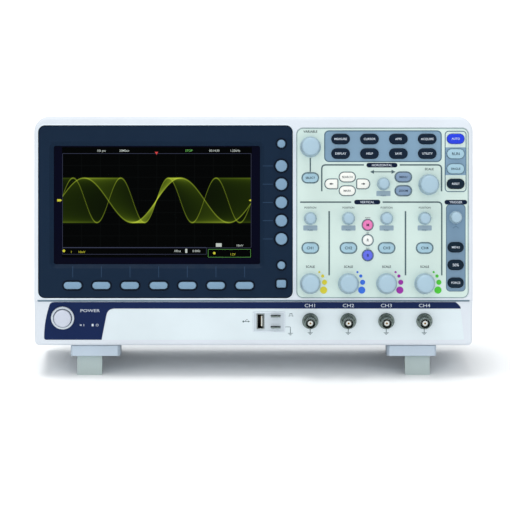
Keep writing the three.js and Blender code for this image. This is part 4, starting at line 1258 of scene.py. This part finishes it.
def make_jack(number):
    """A BNC jack: nut, flange, shell with its two lugs, insulator and centre contact."""
    x, z, _, _ = JACKS[number]
    shell = [(4.7, 15), (4.7, -0.3), (6.8, -0.3), (7, -0.5), (7, -1.6), (6.5, -2.3), (5.5, -2.3)]
    shell += [(5.4, -3.4), (5.2, -3.6), (4.85, -3.6), (4.75, -4.0), (4.75, -12.6)]
    shell += arc(4.5, -12.75, 0.25, 0, -90, 3) + arc(4.3, -12.75, 0.25, -90, -180, 3)
    shell += [(4.05, -4.2), (3.2, -4.0), (3.2, 15), (4.7, 15)]
    lug_profile = [(0, 4.0), (0.95, 4.0), (0.95, 5.35), (0.75, 5.6), (0, 5.6)]
    metal = [turned(shell, x, z, 64)]
    for side in (-1, 1):
        turn = Matrix.Translation((x, -9.6, z)) @ Matrix.Rotation(-side * math.pi / 2, 4, "Z")
        metal.append(moved(turned(lug_profile, segments=20), turn))
    name, stands_for = f"jack_{number}", [f"input_jack_{number}"]
    piece(name + "_shell", together(metal), NICKEL, "case", stands_for, turn=PANEL)
    nut = pad(circle(x, z, 6.2, 2), -1.1, -0.2, 0.2)
    piece(name + "_nut", nut, STEEL, "case", turn=PANEL)
    insulator = [(0.9, -11.4), (2.1, -11.4), (2.3, -11.2), (2.35, -4.4), (3.1, -4.3), (3.1, 14), (0.9, 14)]
    insulator = turned([*insulator, insulator[0]], x, z, 40)
    piece(name + "_insulator", insulator, INSULATOR, "case", turn=PANEL)
    contact = [(0.35, -11.0), (0.6, -11.25), (0.85, -11.0), (0.85, 14), (0, 14), (0, -7), (0.35, -7)]
    piece(name + "_contact", turned(contact, x, z, 24), GOLD, "case", turn=PANEL)


def make_usb_host():
    """An upright USB socket: its shell, dark lining, tongue and four contacts."""
    x, z = USB_X, USB_DOWN
    outer = RoundRect(x, z, USB_W, USB_H, 0.5, 4)
    shell = stepped(outer, (
        (0, 15), (0, -0.25), (0.12, -0.4), (0.38, -0.4), (0.5, -0.25), (0.5, 11), (3, 11),
    ))
    piece("usb_shell", shell, CHROME, "case", ["usb_host_port"], turn=PANEL)
    tongue = RoundRect.between(x + 0.5, x + 1.7, z - 4.6, z + 4.6, 0.3, 3)
    piece("usb_tongue", pad(tongue, 1.0, 10.9, 0.25), INSULATOR, "case", turn=PANEL)
    lining = ((0.52, 0.3), (0.52, 10.95), (0.6, 10.9), (0.6, 0.3), (0.52, 0.3))
    lining = stepped(outer, lining, closed=True)
    piece("usb_lining", lining, BLACK, "case", turn=PANEL)
    back_wall = prism(outer.grown(-0.6), 10.7, 10.9)
    piece("usb_back_wall", back_wall, BLACK, "case", turn=PANEL)
    strips = [RoundRect(x + 0.42, z + dz, 0.16, 1.0, 0.05, 2) for dz in (-3.5, -1.2, 1.2, 3.5)]
    contacts = together([prism(strip, 1.6, 10) for strip in strips])
    piece("usb_contacts", contacts, GOLD, "case", turn=PANEL)


# ---------------------------------------------------------------- rear case

REAR_SHAPE = RoundRect(0, HEIGHT / 2, WIDTH - 2 * SEAM, HEIGHT - 2 * SEAM, [3.6, 3.6, 12.2, 12.2], 8)
POCKET_HALF, POCKET_FRONT, POCKET_BACK, POCKET_DEPTH = 80, 44, 80, 12
BACK_THROUGH = DEPTH - 15, DEPTH + 3
VENT_ROWS, VENT_LEFT, VENT_PITCH, VENT_WIDTH, VENT_HEIGHT = (88, 118, 148), 26, 10, 4, 22
SIDE_VENT_FRONT, SIDE_VENT_PITCH, SIDE_VENT_WIDTH = 52, 8, 3.4
SIDE_VENT_BOTTOM, SIDE_VENT_TOP = 60, 130
SCREWS = [(x, z) for x in (-176, 176) for z in (14, 184)]
PLATE_AREA = RoundRect.between(-150, -40, 92, 150, 2)


def pocket_cutter():
    """The handle's pocket, which widens at its mouth."""
    loops = []
    for grow, z in ((0, -POCKET_DEPTH), (0, -1.6), (0.8, -0.6), (0.8, 3)):
        left, right = -POCKET_HALF - grow, POCKET_HALF + grow
        outline = RoundRect.between(left, right, POCKET_FRONT - grow, POCKET_BACK + grow, 1.5, 4)
        loops.append([(x, y, HEIGHT + z) for x, y in outline.points()])
    return loft(loops)


def back_holes():
    """Cutters for the sockets and the vents in the back."""
    holes = []
    for node in ("mains_inlet", "lan_port", "usb_device_port"):
        low, high = box_in(TO_ROW, node)
        holes.append(box(low.x - GAP, high.x + GAP, *BACK_THROUGH, low.z - GAP, high.z + GAP))
    for z in VENT_ROWS:
        for i in range(9):
            left = VENT_LEFT + VENT_PITCH * i
            slot = RoundRect.between(left, left + VENT_WIDTH, z, z + VENT_HEIGHT, 1.9, 4)
            holes.append(prism(slot, *BACK_THROUGH))
    return holes


def side_vents():
    """Cutters for the upright slots in both sides."""
    slots = []
    for side in (-1, 1):
        for i in range(5):
            y = SIDE_VENT_FRONT + SIDE_VENT_PITCH * i
            shape = RoundRect.between(y, y + SIDE_VENT_WIDTH, SIDE_VENT_BOTTOM, SIDE_VENT_TOP, 1.6, 4)
            ends = sorted((side * (WIDTH / 2 - 6), side * (WIDTH / 2 + 4)))
            slots.append(loft([[(x, *point) for point in shape.points()] for x in ends]))
    return slots


def make_rear_case():
    """The rear shell, with a well inside it for the handle's pocket."""
    front = HOUSING_DEPTH + 0.4
    solid = pad_back(REAR_SHAPE, DEPTH, front, REAR_EDGE, 6)
    hollow = pad_back(REAR_SHAPE, DEPTH - WALL, front - 2, 2, 6, WALL)
    well = box(-POCKET_HALF - WALL, POCKET_HALF + WALL, POCKET_FRONT - WALL, POCKET_BACK + WALL,
               HEIGHT - POCKET_DEPTH - WALL, HEIGHT + 5)
    solid = cut(solid, [cut(hollow, [well])])
    solid = cut(solid, [pocket_cutter()])
    solid = cut(solid, back_holes())
    solid = cut(solid, side_vents())
    piece("rear_shell", solid, MOULDED, "case", ["rear_case"], sharp=32, even=True)


def make_rear_details():
    """Four slotted screws and a blank plate."""
    head = [(0, DEPTH + 0.2), (2.2, DEPTH + 0.2), (3.1, DEPTH - 0.1), (3.3, DEPTH - 1.2), (0, DEPTH - 1.2)]
    heads = together([turned(head, x, z, 32) for x, z in SCREWS])
    slots = [box(x - 2, x + 2, DEPTH - 0.3, DEPTH + 1, z - 0.35, z + 0.35) for x, z in SCREWS]
    piece("rear_screws", cut(heads, slots), STEEL, "case")
    plate = stepped(PLATE_AREA, ((0, DEPTH), (0, DEPTH + 0.15), (0.15, DEPTH + 0.2)))
    piece("rear_plate", plate, PLATE_FILM, "case")


def make_handle():
    """The carry handle: a bar and two arms, rounded, on pins in the walls of its pocket."""
    low, high = box_in(TO_ROW, "handle")
    reach = POCKET_HALF - 0.6
    arm, bar_depth, arm_round, pin_radius = 10, 12, 5, 2.5
    front, pivot_y, pivot_z = low.y, high.y - arm_round, (low.z + high.z) / 2
    inside, inside_y = reach - arm, front + bar_depth
    outer = [(-reach, pivot_y), (-reach, front), (reach, front), (reach, pivot_y)]
    inner_path = [(-inside, pivot_y), (-inside, inside_y), (inside, inside_y), (inside, pivot_y)]
    outline = rounded_path(outer, 7, 8) + rounded_path(inner_path, 5, 8)[::-1]
    solid = loft([[(x, y, z) for x, y in outline] for z in (low.z, high.z)])
    for side in (-1, 1):
        arm_ends = sorted((side * reach, side * inside))
        pin_ends = sorted((side * (reach - 3), side * (reach + 2.4)))
        solid = boolean(solid, rod(*arm_ends, pivot_y, pivot_z, arm_round, 40), "UNION")
        solid = boolean(solid, rod(*pin_ends, pivot_y, pivot_z, pin_radius, 24), "UNION")
    handle = piece("handle_bar", solid, HANDLE, "handle", ["handle"], sharp=50)
    rounding(handle, 1.6, 4)


def rounding(obj, width_mm, segments=3, angle=40):
    """Rounds a piece's sharp edges."""
    modifier = obj.modifiers.new("rounding", "BEVEL")
    modifier.width = width_mm * MM
    modifier.segments = segments
    modifier.limit_method = "ANGLE"
    modifier.angle_limit = math.radians(angle)
    even = obj.modifiers.new("even", "WEIGHTED_NORMAL")
    even.keep_sharp = True


def dress(node, material, width_mm=0.0):
    """Gives a CAD node its material and rounded edges."""
    obj = frame["nodes"][node]
    obj.data.materials.clear()
    obj.data.materials.append(material)
    if width_mm:
        rounding(obj, width_mm)


def hollow_block(node, corner, edge, wall, deep, mouth_corners):
    """A socket's body, its mouth to the back, and where its middle and its mouth are."""
    low, high = box_in(TO_ROW, node)
    x, z, width, height = place_of(node)
    mouth = high.y
    opening = RoundRect(x, z, width - 2 * wall, height - 2 * wall, mouth_corners, 4)
    block = pad_back(RoundRect(x, z, width, height, corner, 4), mouth, low.y, edge)
    return cut(block, [prism(opening, mouth - deep, mouth + 2)]), x, z, mouth


def make_rear_ports():
    """The mains inlet with its pins, the LAN socket and the USB device socket."""
    body, x, z, mouth = hollow_block("mains_inlet", 1.2, 0.5, 1.8, 14, [1, 1, 4, 4])
    piece("inlet_body", body, BLACK, "case", ["mains_inlet"])
    pins = [RoundRect(x + dx, z + dz, 2, 4, 0.3, 3) for dx, dz in ((-7, -2), (0, 2), (7, -2))]
    pins = together([pad_back(pin, mouth - 6, mouth - 14.5, 0.4) for pin in pins])
    piece("inlet_pins", pins, NICKEL, "case")
    body, x, z, mouth = hollow_block("lan_port", 0.6, 0.3, 1.6, 12, 0.4)
    piece("lan_body", body, STEEL, "case", ["lan_port"])
    wires = [RoundRect(x + offset, z + 3.6, 0.5, 0.5, 0.1, 2) for offset in along(-3.57, 3.57, 8)]
    wires = together([prism(wire, mouth - 11.9, mouth - 3) for wire in wires])
    piece("lan_contacts", wires, GOLD, "case")
    body, x, z, mouth = hollow_block("usb_device_port", 0.6, 0.3, 1.0, 10, 0.4)
    piece("usb_device_body", body, STEEL, "case", ["usb_device_port"])
    tongue = RoundRect.between(x - 2.8, x + 2.8, z + 1, z + 4.2, 0.4, 3)
    tongue = pad_back(tongue, mouth - 4, mouth - 10.5, 0.3)
    piece("usb_device_tongue", tongue, INSULATOR, "case")


def make_front_foot(word):
    """A block with tapered ends, slotted for the tilt leg that folds into it."""
    low, high = box_in(TO_ROW, f"front_foot_{word}")
    leg_x, _, leg_width, _ = place_of(f"tilt_leg_{word}")
    half_slot = leg_width / 2 - 2.1
    taper_x, taper_y = 1.7, 4
    plan = [(low.x, high.y), (low.x, low.y + taper_y), (low.x + taper_x, low.y),
            (high.x - taper_x, low.y), (high.x, low.y + taper_y), (high.x, high.y)]
    block = loft([[(x, y, z) for x, y in plan] for z in (low.z, high.z)])
    slot = box(leg_x - half_slot, leg_x + half_slot, low.y + 4.4, high.y - 2.4, low.z - 5, high.z + 5)
    obj = piece(f"foot_{word}", cut(block, [slot]), FOOT, "case", [f"front_foot_{word}"])
    rounding(obj, 0.6, 3, 20)


def make_feet_and_inside():
    """The feet, and the CAD nodes that keep their shapes."""
    for word in ("left", "right"):
        make_front_foot(word)
        dress(f"tilt_leg_{word}", LEG, 0.7)
        dress(f"rear_foot_{word}", RUBBER, 0.8)
    for hook in HOOKS:
        dress(hook, NICKEL, 0.15)
    dress("display_module", DARK, 0.5)
    for board in ("keypad_board", "main_board", "power_supply"):
        dress(board, BOARD)
    dress("chassis_plate", STEEL)


# --------------------------------------------------------------------- stage


FLOOR_REACH = 60
SKY_STRENGTH = 0.89
SUN_STRENGTH = 1.3
SUN_ANGLE = 24
SUN_DIRECTION = (0.14, -0.06, -1)
CAMERA_DISTANCE = 2.4
VIEW_WIDTH = 0.4415  # what the picture takes in at the control face
VIEW_MIDDLE = (1.3, 0, 78.4)
SENSOR_MM = 36


def make_stage():
    """A wide pale floor, which fills the picture up to its far edge."""
    material, _, shader = blank("studio_floor")
    shader.inputs["Base Color"].default_value = (0.93, 0.94, 0.94, 1)
    shader.inputs["Roughness"].default_value = 0.9
    shader.inputs["Specular IOR Level"].default_value = 0.0
    bm = bmesh.new()
    corners = [(-1, -1), (1, -1), (1, 1), (-1, 1)]
    bm.faces.new([bm.verts.new((x * FLOOR_REACH, y * FLOOR_REACH, 0)) for x, y in corners])
    mesh = mesh_of(bm, "floor")
    mesh.materials.append(material)
    floor = bpy.data.objects.new("floor", mesh)
    bpy.context.scene.collection.objects.link(floor)


def make_lights():
    """An even pale sky, and a soft sun almost overhead."""
    world = bpy.data.worlds.new("studio")
    world.use_nodes = True
    background = world.node_tree.nodes["Background"]
    background.inputs["Color"].default_value = (0.98, 0.99, 1.0, 1)
    background.inputs["Strength"].default_value = SKY_STRENGTH
    bpy.context.scene.world = world
    light = bpy.data.lights.new("sun", "SUN")
    light.energy = SUN_STRENGTH
    light.angle = math.radians(SUN_ANGLE)
    sun = bpy.data.objects.new("sun", light)
    sun.rotation_euler = Vector(SUN_DIRECTION).to_track_quat("-Z", "Y").to_euler()
    bpy.context.scene.collection.objects.link(sun)


def make_camera():
    """A long lens looking square on at the control face, which leans back."""
    middle = TO_ROW @ Vector(VIEW_MIDDLE)
    outward = TURN.to_3x3() @ Vector((0, -1, 0))
    camera = bpy.data.cameras.new("camera")
    camera.sensor_width = SENSOR_MM
    camera.lens = SENSOR_MM * CAMERA_DISTANCE / VIEW_WIDTH
    camera.clip_end = 50
    obj = bpy.data.objects.new("camera", camera)
    obj.location = middle + outward * CAMERA_DISTANCE
    obj.rotation_euler = (-outward).to_track_quat("-Z", "Y").to_euler()
    bpy.context.scene.collection.objects.link(obj)
    bpy.context.scene.camera = obj


# ---------------------------------------------------------------------- build

bpy.context.scene.view_settings.view_transform = "Standard"
make_camera()
make_stage()
make_lights()
make_housing()
make_trims()
make_bezel()
make_display()
make_overlays()
make_section_lines(PRINT_FRONT)
make_legends(PRINT_FRONT)
make_channel_dots(PRINT_FRONT - 0.03)
make_keys()
make_key_legends()
for knob in KNOBS:
    make_knob(knob)
make_films()
make_input_trims()
make_input_marks(FILM_FRONT - INK)
make_power_button()
for channel in CHANNELS:
    make_jack(channel)
make_usb_host()
make_rear_case()
make_rear_details()
make_handle()
make_rear_ports()
make_feet_and_inside()
